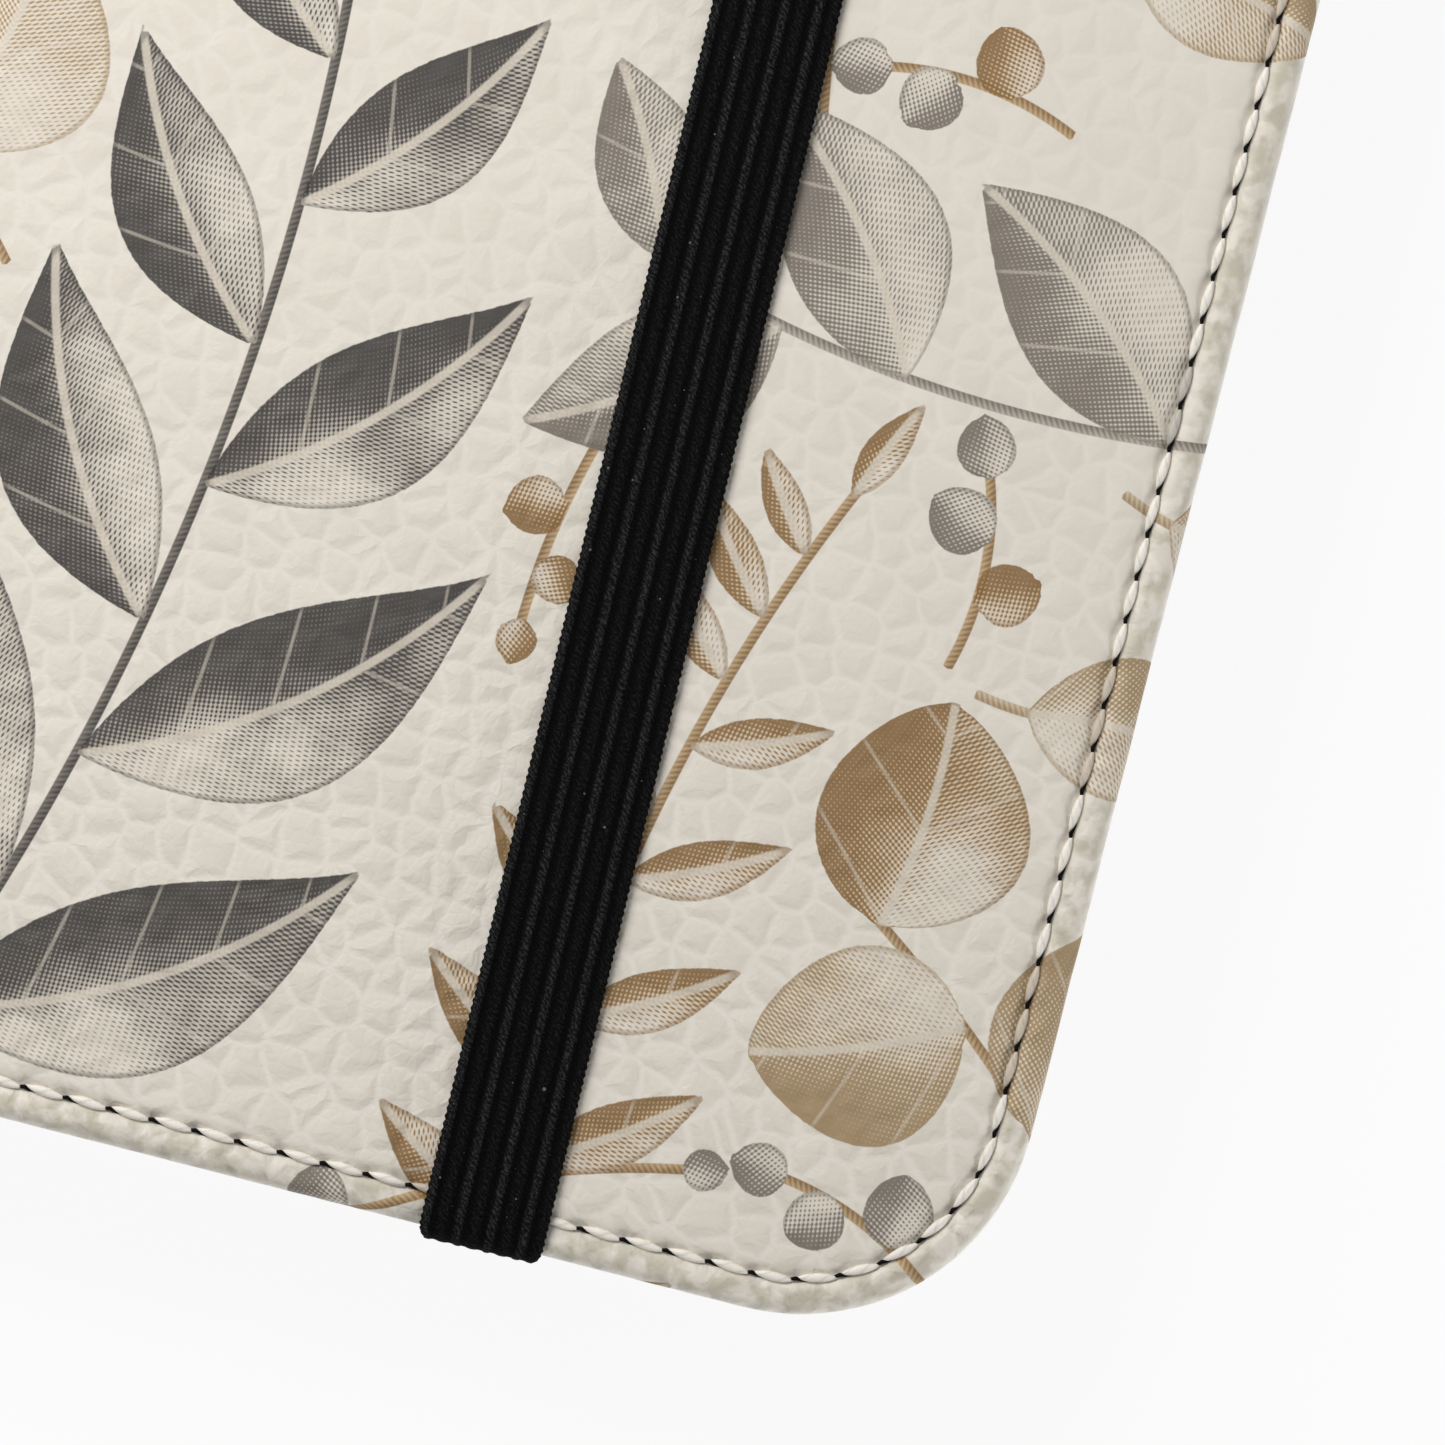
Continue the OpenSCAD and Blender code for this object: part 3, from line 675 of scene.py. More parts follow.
def grain(u, v):
    """Height in mm of the embossing: low domes 3.1 mm across with soft borders, on a sheet pulled about by slow waves,
    bolder towards the foot of the case. The finer pebbles on them are the material's."""
    wu = u + 0.5 * np.sin(0.83 * v + 1.1 * np.sin(0.31 * u)) + 0.25 * np.sin(2.1 * v + 0.7)
    wv = v + 0.5 * np.sin(0.77 * u + 1.3 * np.sin(0.37 * v)) + 0.25 * np.sin(1.9 * u + 2.0)
    bold = 0.5 + 0.5 * smooth_step(10, -60, v)
    cells = 0.02 * smooth_step(0.0, 0.8, cell_borders(wu, wv, 3.1, 1.7)) - 0.013
    swell = 0.03 * np.sin(0.41 * u + 0.9 * np.sin(0.23 * v)) * np.sin(0.37 * v + 1.2)
    return bold * cells + swell


# Depth and width of the seam's valley and how much deeper it is at a needle hole; place, width and height of the roll
# outside it and the height of its puckers; height, place and width of the swell inside it
VALLEY, VALLEY_W, NEEDLE_PULL = 0.42, 0.5, 0.22
ROLL_AT, ROLL_W, ROLL_H, PUCKER_H = 0.9, 0.75, 0.04, 0.035
SWELL_H, SWELL_AT, SWELL_W = 0.05, 4.1, 0.9


def seam_relief(inset, s, step):
    """Height of the leather across the seam: a valley on the stitch line, deepest at each needle hole, a low swell
    inside it, and outside it a roll that puckers along the edge. Each is a bell curve of the inset."""
    pull = 1.0 + NEEDLE_PULL * np.cos(tau * s / step)
    pucker = np.sin(2.3 * s + 1.9 * np.sin(0.61 * s)) + 0.7 * np.sin(3.7 * s + 2.2 * np.sin(0.43 * s) + 2.5 * inset)
    return (-VALLEY * pull * bell(inset, SEAM_INSET, VALLEY_W) + SWELL_H * bell(inset, SWELL_AT, SWELL_W)
            + (ROLL_H + PUCKER_H * pucker) * bell(inset, ROLL_AT, ROLL_W))


# Section of the leather from 15 mm inside the edge, over the rolled rim and under to the hem: inset from the edge,
# depth below the outer face, inset on the flat sheet and lean of the surface. The grid is finer in the lower half
FINE, COARSE, SEAM_ZONE = 0.42, 0.64, 4.2
FLAT_INSETS = chain(run(CORNER_R, SEAM_ZONE, FINE)[:-1], run(SEAM_ZONE, RIM_R, 0.2)[:-1])
ROLL = np.linspace(0, pi, 18)
HEM = np.array([0.5, 1.4, 2.8])
SECTION = {
    "inset": chain(FLAT_INSETS, RIM_R - RIM_R * np.sin(ROLL), RIM_R + HEM),
    "depth": chain(0 * FLAT_INSETS, RIM_R - RIM_R * np.cos(ROLL), TURNED_T + 0 * HEM),
    "flat": chain(FLAT_INSETS, RIM_R - RIM_R * ROLL, RIM_R - RIM_R * pi - HEM),
    "lean": chain(0 * FLAT_INSETS, ROLL, pi + 0 * HEM),
}
ROWS = chain(run(CORNER_Y, 8, COARSE)[:-1], run(8, -CORNER_Y, FINE))
NEAR_FOLD = np.array([0.0, 0.06, 0.2, 0.45, 0.8])
COVER_COLUMNS = chain(FOLD_X + NEAR_FOLD, run(FOLD_X + 1.2, CORNER_X, FINE))
BACK_COLUMNS = chain(FOLD_X + NEAR_FOLD, run(FOLD_X + 1.4, CORNER_X, 0.95))
SPINE_COLUMNS = chain(NEAR_FOLD - SPINE_HALF, run(1.2 - SPINE_HALF, SPINE_HALF - 1.2, 0.45),
                      (SPINE_HALF - NEAR_FOLD)[::-1])
FOLD_THIN, FOLD_ROUND = 0.45, 0.9
SKIN_T, WINDOW_TURN_IN = 0.3, 0.8
SEAM_R = CORNER_R - SEAM_INSET
SEAM_SIDE, SEAM_ARC, SEAM_END = CORNER_X - FOLD_X, SEAM_R * pi / 2, 2 * CORNER_Y
SEAM_HALF = SEAM_SIDE + SEAM_ARC + SEAM_END / 2
STITCH_COUNT = 2 * round(SEAM_HALF / STITCH_PITCH)
STITCH_STEP = 2 * SEAM_HALF / STITCH_COUNT
SPINE_COUNT = 5
SPINE_STEP = 2 * SPINE_HALF / SPINE_COUNT


def rim_share(beyond):
    """Share of the rim's full thickness at a distance beyond a fold: thin in it, then a quarter round up to one."""
    t = np.clip(beyond / FOLD_ROUND, 0, 1)
    return FOLD_THIN + (1 - FOLD_THIN) * np.sqrt(1 - (1 - t) ** 2)


def edge_lines(columns, rows):
    """Lines across the edge strip, in order along the top, round a corner, down the opening edge, and back the same way
    mirrored: each line's foot 15 mm inside, its outward direction and its seam length."""
    turn = run(pi / 2, 0, FINE / CORNER_R)[1:-1]
    top_x = chain(columns, CORNER_X + 0 * turn)
    top = np.stack([top_x, CORNER_Y + 0 * top_x], 1)
    top_out = chain(np.tile([0.0, 1.0], (len(columns), 1)), np.stack([np.cos(turn), np.sin(turn)], 1))
    top_s = chain(columns - FOLD_X, SEAM_SIDE + SEAM_R * (pi / 2 - turn))
    mirror = np.array([1, -1])
    feet = chain(top, np.stack([CORNER_X + 0 * rows, rows], 1), top[::-1] * mirror)
    out = chain(top_out, np.tile([1.0, 0.0], (len(rows), 1)), top_out[::-1] * mirror)
    s = chain(top_s, SEAM_SIDE + SEAM_ARC + CORNER_Y - rows, (2 * SEAM_HALF - top_s)[::-1])
    return feet, out, s


def inner_face(strip, inner, section, out, way):
    """Parts that close a cover's sheet at a skin's depth under it: every third line of the section from the seam to the
    hem, a fan over the middle, and walls along the hem and the fold."""
    last = strip.shape[1] - 1
    keep = np.unique(chain([0], np.nonzero(section["inset"] < 4.5)[0][::3], [last]))
    lean = section["lean"][keep]
    up = np.broadcast_to(way * np.cos(lean)[None, :, None], (len(out), len(keep), 1))
    inside = strip[:, keep] - SKIN_T * np.concatenate([np.sin(lean)[None, :, None] * out[:, None, :], up], -1)
    fold = inner[:, 0]
    fold_inside = fold - np.array([0, 0, way * SKIN_T])
    loop = chain(inside[:, 0], fold_inside[::-1])
    i, middle = np.arange(len(loop)), np.full(len(loop), len(loop))
    fan = np.stack([i, (i + 1) % len(loop), middle, middle], 1)
    j = np.arange(last)
    below = last + np.searchsorted(keep, np.arange(last + 1), side="right")
    end_wall = np.stack([j, j + 1, below[j + 1], below[j]], 1)
    return [(inside.reshape(-1, 3), grid_quads(len(out), len(keep))),
            (chain(loop, loop.mean(0)[None]), fan),
            (chain(strip[:, -1], inside[:, -1]), grid_quads(2, len(out))),
            (chain(strip[0], inside[0]), end_wall),
            (chain(strip[-1], inside[-1]), end_wall),
            (chain(fold, fold_inside), grid_quads(2, len(fold)))]


def cover_sheet(columns, rows, section, face, way, relief, closed=False):
    """One cover's surface: a plain grid inside, and an edge strip whose lines fan round the two corners.
    A point of the strip is its foot plus (corner radius less inset) outwards, at the section's depth below the face;
    relief then moves it along the section's lean. Way is 1 for a face that looks up and -1 for one that looks down.
    A closed sheet has an inner face as well."""
    feet, out, s = edge_lines(columns, rows)
    flat = feet[:, None, :] + (CORNER_R - section["flat"])[None, :, None] * out[:, None, :]
    gx, gy = (a.ravel() for a in np.meshgrid(columns, rows))
    inset = chain(np.tile(section["flat"], len(feet)), np.full(gx.shape, CORNER_R))
    lift, fields = relief(chain(flat[..., 0].ravel(), gx), chain(flat[..., 1].ravel(), gy),
                          inset, chain(np.repeat(s, len(section["flat"])), 0 * gx))
    split = flat[..., 0].size
    strip_lift = lift[:split].reshape(flat.shape[:2])
    reach = CORNER_R - section["inset"] + strip_lift * np.sin(section["lean"])
    strip_xy = feet[:, None, :] + reach[..., None] * out[:, None, :]
    depth = rim_share(feet[:, 0] - FOLD_X)[:, None] * section["depth"]
    strip_z = face + way * (strip_lift * np.cos(section["lean"]) - depth)
    strip = np.concatenate([strip_xy, strip_z[..., None]], -1).reshape(-1, 3)
    inner = places(gx, gy, face + way * lift[split:])
    parts = [(p, facing(p, q, (0, 0, way)), {k: f[of] for k, f in fields.items()}) for p, q, of in (
        (strip, grid_quads(*flat.shape[:2]), slice(split)),
        (inner, grid_quads(len(rows), len(columns)), slice(split, None)))]
    if closed:
        strip, inner = strip.reshape(len(feet), -1, 3), inner.reshape(len(rows), len(columns), 3)
        parts += [(p, q, {k: np.zeros((len(p),) + f.shape[1:]) for k, f in fields.items()})
                  for p, q in inner_face(strip, inner, section, out, way)]
    return welded(*joined(parts))


def leather_relief(u, v, inset, s, step):
    """Lift of the leather at sheet points, with the fields that its material reads."""
    leaf, look, stem, side = printed(u, v)
    look[:, 2] = inset
    calm = 1 - 0.75 * bell(inset, SEAM_INSET, 0.6)
    lift = grain(u, v) * calm + seam_relief(inset, s, step)
    return lift, {"leaf": leaf, "look": look, "stem": stem, "stem_side": side, "sheet": places(u, v, 0.0)}


def cover_relief(side, x, y, inset, s):
    """The same for a cover, whose sheet runs on from the spine's fold on its side."""
    return leather_relief(side * (COVER_U + x - FOLD_X), y, inset, s, STITCH_STEP)


# Rows of the spine and folds, from hem to hem, so that they meet the covers point for point
SPINE_ROWS = {name: chain(HALF_L - SECTION[key][::-1], ROWS[1:-1], SECTION[key] - HALF_L)
              for name, key in (("y", "inset"), ("v", "flat"))}
SPINE_ROWS.update({key: chain(SECTION[key][::-1], 0 * ROWS[1:-1], SECTION[key])
                   for key in ("depth", "lean")})


def spine_line(u):
    """Places on the outer face round the spine, by sheet length u from its middle: straight up the spine,
    then a quarter turn of the fold radius into each cover. Gives x, z and the outward direction."""
    bent = np.clip(np.abs(u) - SPINE_HALF, 0, FOLD_ARC) / FOLD_R
    side = np.sign(u)
    nx, nz = -np.cos(bent), side * np.sin(bent)
    folded = np.abs(u) > SPINE_HALF
    x = np.where(folded, FOLD_X + FOLD_R * nx, -HALF_W)
    z = CASE_H / 2 + np.where(folded, side * SPINE_HALF + FOLD_R * nz, u)
    return x, z, nx, nz


def spine_sheet(u):
    """Leather round the spine between the given sheet lengths: spine_line carried along the case's length,
    with the same rolled rim at both ends and the same grain, print and seam, made a skin's thickness solid."""
    y, v, depth, lean = (SPINE_ROWS[key][:, None] for key in ("y", "v", "depth", "lean"))
    gu, gv = np.meshgrid(u, v)
    flat_u, flat_v = gu.ravel(), gv.ravel()
    lift, fields = leather_relief(flat_u, flat_v, HALF_L - np.abs(flat_v), flat_u + SPINE_HALF, SPINE_STEP)
    lift = lift.reshape(gu.shape)
    x, z, nx, nz = spine_line(u)
    high = lift * np.cos(lean) - depth * rim_share(SPINE_HALF - np.abs(u))
    points = places(x + high * nx, y + np.sign(gv) * lift * np.sin(lean), z + high * nz)
    return skin(points, facing(points, grid_quads(*gu.shape), (nx.mean(), 0, nz.mean())), fields, SKIN_T)


def across_fold(piece, cover, side):
    """Bakes a piece's placement into its mesh; the piece is not bent over the fold."""
    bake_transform(piece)


def hole_distance(points):
    """Distance from the round-cornered camera window's outline, less than nothing inside, and its gradient."""
    cx, cy, half_x, half_y, r = CAMERA_HOLE
    x, y = points[:, 0], points[:, 1]
    qx, qy = np.abs(x - cx) - (half_x - r), np.abs(y - cy) - (half_y - r)
    corner = (qx > 0) & (qy > 0)
    length = np.maximum(np.hypot(np.maximum(qx, 0), np.maximum(qy, 0)), 1e-9)
    away = np.where(corner, length, np.maximum(qx, qy)) - r
    gx = np.where(corner, qx / length, qx >= qy) * np.sign(x - cx)
    gy = np.where(corner, qy / length, qx < qy) * np.sign(y - cy)
    return away, gx, gy


def punched(points, quads, fields):
    """The sheet with the camera window cut: quads wholly inside go, and the inside corners of the others move onto
    its outline."""
    away, gx, gy = hole_distance(points)
    quads = quads[(away[quads] > 0).any(1)]
    used = np.zeros(len(points), bool)
    used[quads.ravel()] = True
    snap = used & (away < 0)
    points = points.copy()
    points[:, 0] -= np.where(snap, away * gx, 0)
    points[:, 1] -= np.where(snap, away * gy, 0)
    return points[used], (np.cumsum(used) - 1)[quads], {k: f[used] for k, f in fields.items()}


front_sheet = cover_sheet(COVER_COLUMNS, ROWS, SECTION, CASE_H, 1, partial(cover_relief, 1), closed=True)
back_sheet = cover_sheet(BACK_COLUMNS, ROWS, SECTION, 0.0, -1, partial(cover_relief, -1))
back_sheet = skin(*punched(*back_sheet), SKIN_T)
# The back's inner face turns in at the camera window
back_points = back_sheet[0]
window_edge = np.abs(hole_distance(back_points)[0]) < 1e-3
window_edge[:len(back_points) // 2] = False
back_points[window_edge, 2] = WINDOW_TURN_IN
for part, sheet, body in (("front", front_sheet, "front_cover"), ("back", back_sheet, "back_cover"),
                          ("spine", spine_sheet(SPINE_COLUMNS), "spine")):
    make_piece(part + "_leather", sheet, LEATHER, body, [part + "_skin"], crisp=True)
for cover, side in COVERS:
    fold = make_piece(cover + "_fold_leather", spine_sheet(side * run(SPINE_HALF, COVER_U, 0.36)),
                      LEATHER, None, [cover + "_fold_strip"], crisp=True)
    across_fold(fold, cover, side)


# Stitching

# Thread colours; the black is the under thread's, and also a painted shadow where that thread lies beside the stitches
CREAM, LOCK_AND_SHADOW_BLACK, DARK_GREY = "#f4eee4", "#050505", "#2b2928"
STITCH_HALF, STITCH_SINK, SPINE_SINK, STITCH_SKEW = 1.3, 0.2, 0.24, radians(-4.5)
# A stitch's end thickness as a share of its middle's, and how far its ends dip
END_SHARE, END_DIP, STITCH_RINGS, STITCH_AROUND = 0.16, 0.14, 10, 8
# The under thread's radius, sink, swing to each side, where it lies beside the stitch as a painted shadow, and rise at
# a needle hole, steps to a stitch and points round it
LOCK_R, LOCK_SINK, LOCK_SWING, LOCK_RISE, LOCK_STEPS, LOCK_AROUND = 0.14, 0.38, 0.23, 0.14, 10, 6


def stitch_row(centres, ways, ups, half, radius, dyes):
    """Thread between needle holes: for each stitch a spindle along its way, thick in the middle, thin and sunk at its
    ends, and a little askew. Its spin field holds the place along and round it and the phase of its two plies."""
    rings, around = STITCH_RINGS, STITCH_AROUND
    t = np.linspace(-1, 1, rings)[:, None]
    turn = np.linspace(0, tau, around, endpoint=False) - pi / 2
    r = radius * (END_SHARE + (1 - END_SHARE) * (1 - np.abs(t) ** 2)) + 0 * turn
    a, b = half * t + 0 * turn, r * np.cos(turn) + math.tan(STITCH_SKEW) * half * t
    c = r * np.sin(turn) - END_DIP * np.abs(t) ** 4
    axes = (ways, np.cross(ups, ways), ups)
    points = centres[:, None, None, :] + sum(k[None, ..., None] * axis[:, None, None, :]
                                             for k, axis in zip((a, b, c), axes))
    spin = np.stack([a * 3.0, turn * 1.6 + 0 * a, 2 * turn + tau * t], -1)
    spin = spin + np.arange(len(centres))[:, None, None, None] * np.array([3.7, 3.7, 0.9])
    dye = np.broadcast_to(dyes[:, None, None, :], points.shape)
    points = points.reshape(-1, 3)
    one = outward(points[:rings * around], tube_quads(rings, around))
    quads = (one[None] + np.arange(len(centres))[:, None, None] * rings * around).reshape(-1, 4)
    return points, quads, {"dye": dye.reshape(-1, 3), "spin": spin.reshape(-1, 3)}


def lock_line_and_shadow(spots, ways, ups, share, dye):
    """The under thread, pulled up between stitches: a tube along the seam that crosses from inside to outside at each
    needle hole, rises there, and lies low beside the stitch between two holes, where it is a painted shadow of the
    stitch. Share is its place in the stitch."""
    turn = np.linspace(0, tau, LOCK_AROUND, endpoint=False)
    hole = np.cos(pi * share) ** 2
    beside = LOCK_SWING * np.sin(pi * share)
    sides = np.cross(ups, ways)
    middle = spots + beside[:, None] * sides + (LOCK_RISE * hole ** 6)[:, None] * ups
    ring = LOCK_R * (np.cos(turn)[None, :, None] * sides[:, None, :] + np.sin(turn)[None, :, None] * ups[:, None, :])
    points = (middle[:, None, :] + ring * (0.6 + 0.4 * hole ** 4)[:, None, None]).reshape(-1, 3)
    step = np.repeat(np.arange(len(spots)), LOCK_AROUND)
    spin = places(step * 0.6, np.tile(turn, len(spots)), step * 0.7)
    return (points, outward(points, tube_quads(len(spots), LOCK_AROUND)),
            {"dye": np.tile(dye, (len(points), 1)), "spin": spin})


def stained(u, v):
    """Cream thread colours at sheet points, with part of the ink of a leaf printed there."""
    leaf, look = printed(u, v)[:2]
    inks = np.array([linear(pair[0]) for pair in INKS])
    ink = inks[np.clip(look[:, 0], 0, len(INKS) - 1).astype(int)]
    share = 0.5 * smooth_step(0.1, -0.1, leaf[:, 0])[:, None]
    return linear(CREAM) * (1 - share) + ink * share


def seam_places(s, face, way, sink):
    """Places, headings and outward directions round a cover's seam, sunk below its face, at lengths s from the fold at
    the top: straight, quarter arc, straight, quarter arc, straight."""
    lower = s > SEAM_HALF
    d = np.where(lower, 2 * SEAM_HALF - s, s)
    angle = np.clip((d - SEAM_SIDE) / SEAM_R, 0, pi / 2)
    x = np.where(d < SEAM_SIDE, FOLD_X + d, CORNER_X + SEAM_R * np.sin(angle))
    y = CORNER_Y + SEAM_R * np.cos(angle) - np.maximum(d - SEAM_SIDE - SEAM_ARC, 0)
    end = np.where(lower, -1, 1)
    return (places(x, y * end, face - way * sink), places(np.cos(angle) * end, -np.sin(angle), 0.0),
            places(0 * x, 0.0, float(way)))


def spine_stitches(u):
    """Stitches across both ends of the spine or of a fold, at sheet lengths u."""
    x, z, nx, nz = (np.tile(a, 2) for a in spine_line(u))
    seam_y = np.repeat([1.0, -1.0], len(u)) * (HALF_L - SEAM_INSET)
    ups, ways = places(nx, 0.0, nz), places(nz, 0.0, -nx)
    centres = places(x, seam_y, z) - SPINE_SINK * ups
    return stitch_row(centres, ways, ups, STITCH_HALF * 0.95, THREAD_R, stained(np.tile(u, 2), seam_y))


for cover, side in COVERS:
    face = CASE_H if side > 0 else 0.0
    centres, ways, ups = seam_places((np.arange(STITCH_COUNT) + 0.5) * STITCH_STEP, face, side, STITCH_SINK)
    dyes = stained(side * (COVER_U + centres[:, 0] - FOLD_X), centres[:, 1])
    make_piece(cover + "_thread", stitch_row(centres, ways, ups, STITCH_HALF, THREAD_R, dyes),
               THREAD, cover + "_cover", [cover + "_stitching"])
    # Black under thread at each needle hole, and between holes a painted shadow beside each stitch
    steps = np.arange(LOCK_STEPS, (STITCH_COUNT - 1) * LOCK_STEPS + 1)
    line = seam_places(steps * STITCH_STEP / LOCK_STEPS, face, side, LOCK_SINK)
    make_piece(cover + "_lock_thread_and_shadow", lock_line_and_shadow(*line, steps % LOCK_STEPS / LOCK_STEPS, linear(LOCK_AND_SHADOW_BLACK)),
               BLACK_THREAD, cover + "_cover")
make_piece("spine_thread", spine_stitches((np.arange(SPINE_COUNT) + 0.5) * SPINE_STEP - SPINE_HALF),
           THREAD, "spine", ["spine_stitching"])
for cover, side in COVERS:
    fold_u = side * (SPINE_HALF + FOLD_ARC * np.array([0.25, 0.75]))
    across_fold(make_piece(cover + "_fold_thread", spine_stitches(fold_u), THREAD), cover, side)


# Elastic

# Half widths of a narrow and a broad rib and the broad one's height to the narrow one's, the under side's height to the
# upper side's, the rise and side scallop of a knit loop, and how far each side draws in at a bend
RIB_NARROW, RIB_BROAD, RIB_LOW, UNDER_LOW = 0.24, 0.34, 0.75, 0.72
LOOP_RISE, LOOP_SIDE, DRAW_IN, ROUND_OFF = 0.025, 0.05, 0.4, 0.9


def elastic_strip(y, z, ny, nz, lengths):
    """Ribbed elastic: a flat section of eight ribs, narrow and broad by turns, carried along a line in the band's own
    plane. Each rib is a bell over the web; the sides scallop with the knit and draw in round the bend at each end."""
    pitch = (BAND_W - CORD_D) / (BAND_RIBS - 1)
    edge = BAND_W / 2
    top = chain([-edge], run(-edge + 0.06, edge - 0.06, 0.15), [edge])
    under = np.linspace(edge - 0.15, -edge + 0.15, 9)
    b = chain(top, under)
    number = np.clip(np.round(b / pitch + (BAND_RIBS - 1) / 2), 0, BAND_RIBS - 1)
    off = b - (number - (BAND_RIBS - 1) / 2) * pitch
    narrow = number % 2 == 0
    ridge = np.where(narrow, np.exp(-(off / RIB_NARROW) ** 4), RIB_LOW * np.exp(-(off / RIB_BROAD) ** 4))
    border = np.sqrt(np.clip((edge - np.abs(b)) / 0.22, 0.0, 1.0))
    upper = np.arange(len(b)) < len(top)
    calm = 1 - 0.55 * np.clip((np.abs(y) - HALF_L + ROUND_OFF) / ROUND_OFF, 0, 1)[:, None]
    rib = (WEB_T / 2 + (CORD_D - WEB_T) / 2 * (calm * ridge + (1 - calm) * 0.7)) * border
    beat = np.cos(tau * lengths[:, None] / LOOP_PITCH)
    rise = np.where(upper, LOOP_RISE, 0.0) * beat * np.where(narrow, -1, 1) * ridge
    level = np.where(upper, rib, -UNDER_LOW * rib) + rise
    beyond = np.clip((np.abs(y) - (HALF_L - ROUND_OFF / 2)) / ROUND_OFF, 0, 1)[:, None]
    draw_in = 1 - DRAW_IN / edge * (1 - np.sqrt(1 - beyond ** 2))
    wide = b * draw_in + np.sign(b) * np.where(np.abs(b) > edge - 0.2, LOOP_SIDE, 0.0) * beat
    py, pz = y[:, None] + level * ny[:, None], z[:, None] + level * nz[:, None]
    c, s = math.cos(BAND_SKEW), math.sin(BAND_SKEW)
    points = places(BAND_X + wide * c - py * s, wide * s + py * c, pz)
    rows, cols = level.shape
    k = np.arange(len(top))
    low = np.clip(cols - 1 - k * len(under) // len(top), len(top), cols - 1)
    cap = np.stack([k[:-1], k[1:], low[1:], low[:-1]], 1)
    quads = chain(grid_quads(rows, cols, True), cap[:, ::-1], cap + (rows - 1) * cols)
    # Painted light: lighter on each rib's top, the narrow ribs about three times as much as the broad ones, and darkest
    # in the grooves between ribs
    light = (np.where(narrow, 1.0, 0.3) * np.clip(1.35 * ridge, 0, 1) + 0.06) + 0 * level
    return points, outward(points, quads), {"knit": places(lengths[:, None], b, 0.0), "loop": light.ravel()}


# Half of the strap's line, up a leg and round its bend, then the run over the cover and the same half mirrored
run_end, run_z = HALF_L - RIM_R, CASE_H - RIM_R
bend_turn = run(0, pi / 2, 0.12 / BAND_BEND)[1:-1]
leg_z = run(BAND_LEG_Z, run_z, 0.16)
run_y = run(-run_end, run_end, 0.125)
half_ny = chain(0 * leg_z - 1, -np.cos(bend_turn))
half_nz = chain(0 * leg_z, np.sin(bend_turn))
half_y = BAND_BEND * half_ny - run_end
half_z = chain(leg_z, run_z + BAND_BEND * np.sin(bend_turn))
band_y, band_z, band_ny, band_nz = (
    chain(half, middle, flip * half[::-1]) for half, middle, flip in (
        (half_y, run_y, -1), (half_z, 0 * run_y + run_z + BAND_BEND, 1), (half_ny, 0 * run_y, -1),
        (half_nz, 0 * run_y + 1, 1)))
band_s = chain([0.0], np.cumsum(np.hypot(np.diff(band_y), np.diff(band_z))))
strap = make_piece("elastic_strap", elastic_strip(band_y, band_z, band_ny, band_nz, band_s),
                   ELASTIC, "strap", ["elastic_band"])
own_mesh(strap)
for end_name, end in (("top", 1), ("bottom", -1)):
    tail_y = run(end * (HALF_L - TAIL_L), end * HALF_L, 0.2)
    tail = elastic_strip(tail_y, 0 * tail_y + BAND_LEG_Z + CORD_D / 2, 0 * tail_y, 0 * tail_y + 1, np.abs(tail_y))
    make_piece("elastic_tail_" + end_name, tail, ELASTIC, "back_cover", ["band_tail_" + end_name])


# Linings

# The cloth's section: flat, with its last five places round the cut edge
LINING_INSETS = chain(run(CORNER_R, 2.2, 0.9), [1.5, 1.36, 1.29, 1.26, 1.25])
LINING_SECTION = {
    "inset": LINING_INSETS, "flat": LINING_INSETS, "lean": 0 * LINING_INSETS,
    "depth": chain(0 * LINING_INSETS[:-5], [0.0, 0.03, 0.1, 0.2, LINING_T - 0.02]),
}
LINING_COLUMNS, LINING_ROWS = run(FOLD_X, CORNER_X, 1.1), run(CORNER_Y, -CORNER_Y, 1.1)
CREASE_DEEP, LINING_EDGE = 0.16, 0.1


def lining_relief(x, y, inset, s):
    """Soft rise and fall of glued cloth, a few hundredths of a mm, dying away at the edge."""
    wave = np.sin(0.21 * x + 1.3 * np.sin(0.13 * y)) * np.sin(0.17 * y + 0.6) + 0.6 * np.sin(0.5 * x + 0.43 * y)
    return 0.025 * wave * smooth_step(1.2, 5, inset), {}


def lining_sheet(face, way):
    """The cloth of a cover's inner face, which lies at face and looks up (1) or down (-1)."""
    return cover_sheet(LINING_COLUMNS, LINING_ROWS, LINING_SECTION, face, way, lining_relief)


def cloth_slab(xs, ys, low, high, fall=0.0):
    """A closed slab on a grid of places: an outer face at low, moved by fall, an inner face at high and a wall round
    the border. Its crease field, which the pocket's material paints as shade, is 1 where the fall is deepest."""
    outer, inner = (places(xs, ys, z) for z in (low + fall, high))
    points, quads, _ = thickened(outer, grid_quads(*xs.shape)[:, ::-1], {}, inner)
    crease = np.clip((fall + 0 * xs).ravel() / CREASE_DEEP, 0, 1)
    return points, outward(points, quads), {"crease": chain(crease, 0 * crease)}


def soft_edges(piece, width):
    """Rounds the slab's border edges."""
    bevel = piece.modifiers.new("rounded_edge", "BEVEL")
    bevel.width, bevel.segments, bevel.limit_method = width * MM, 2, "ANGLE"
    bevel.angle_limit = SOFT_ANGLE


make_piece("back_lining_cloth", backed(*punched(*lining_sheet(COVER_T, 1)), COVER_T - LINING_T),
           LINING, "back_cover", ["back_lining"], crisp=True)
make_piece("front_lining_cloth", backed(*lining_sheet(FRONT_INNER_Z, -1), FRONT_INNER_Z + LINING_T),
           LINING, "front_cover", ["front_lining"], crisp=True)

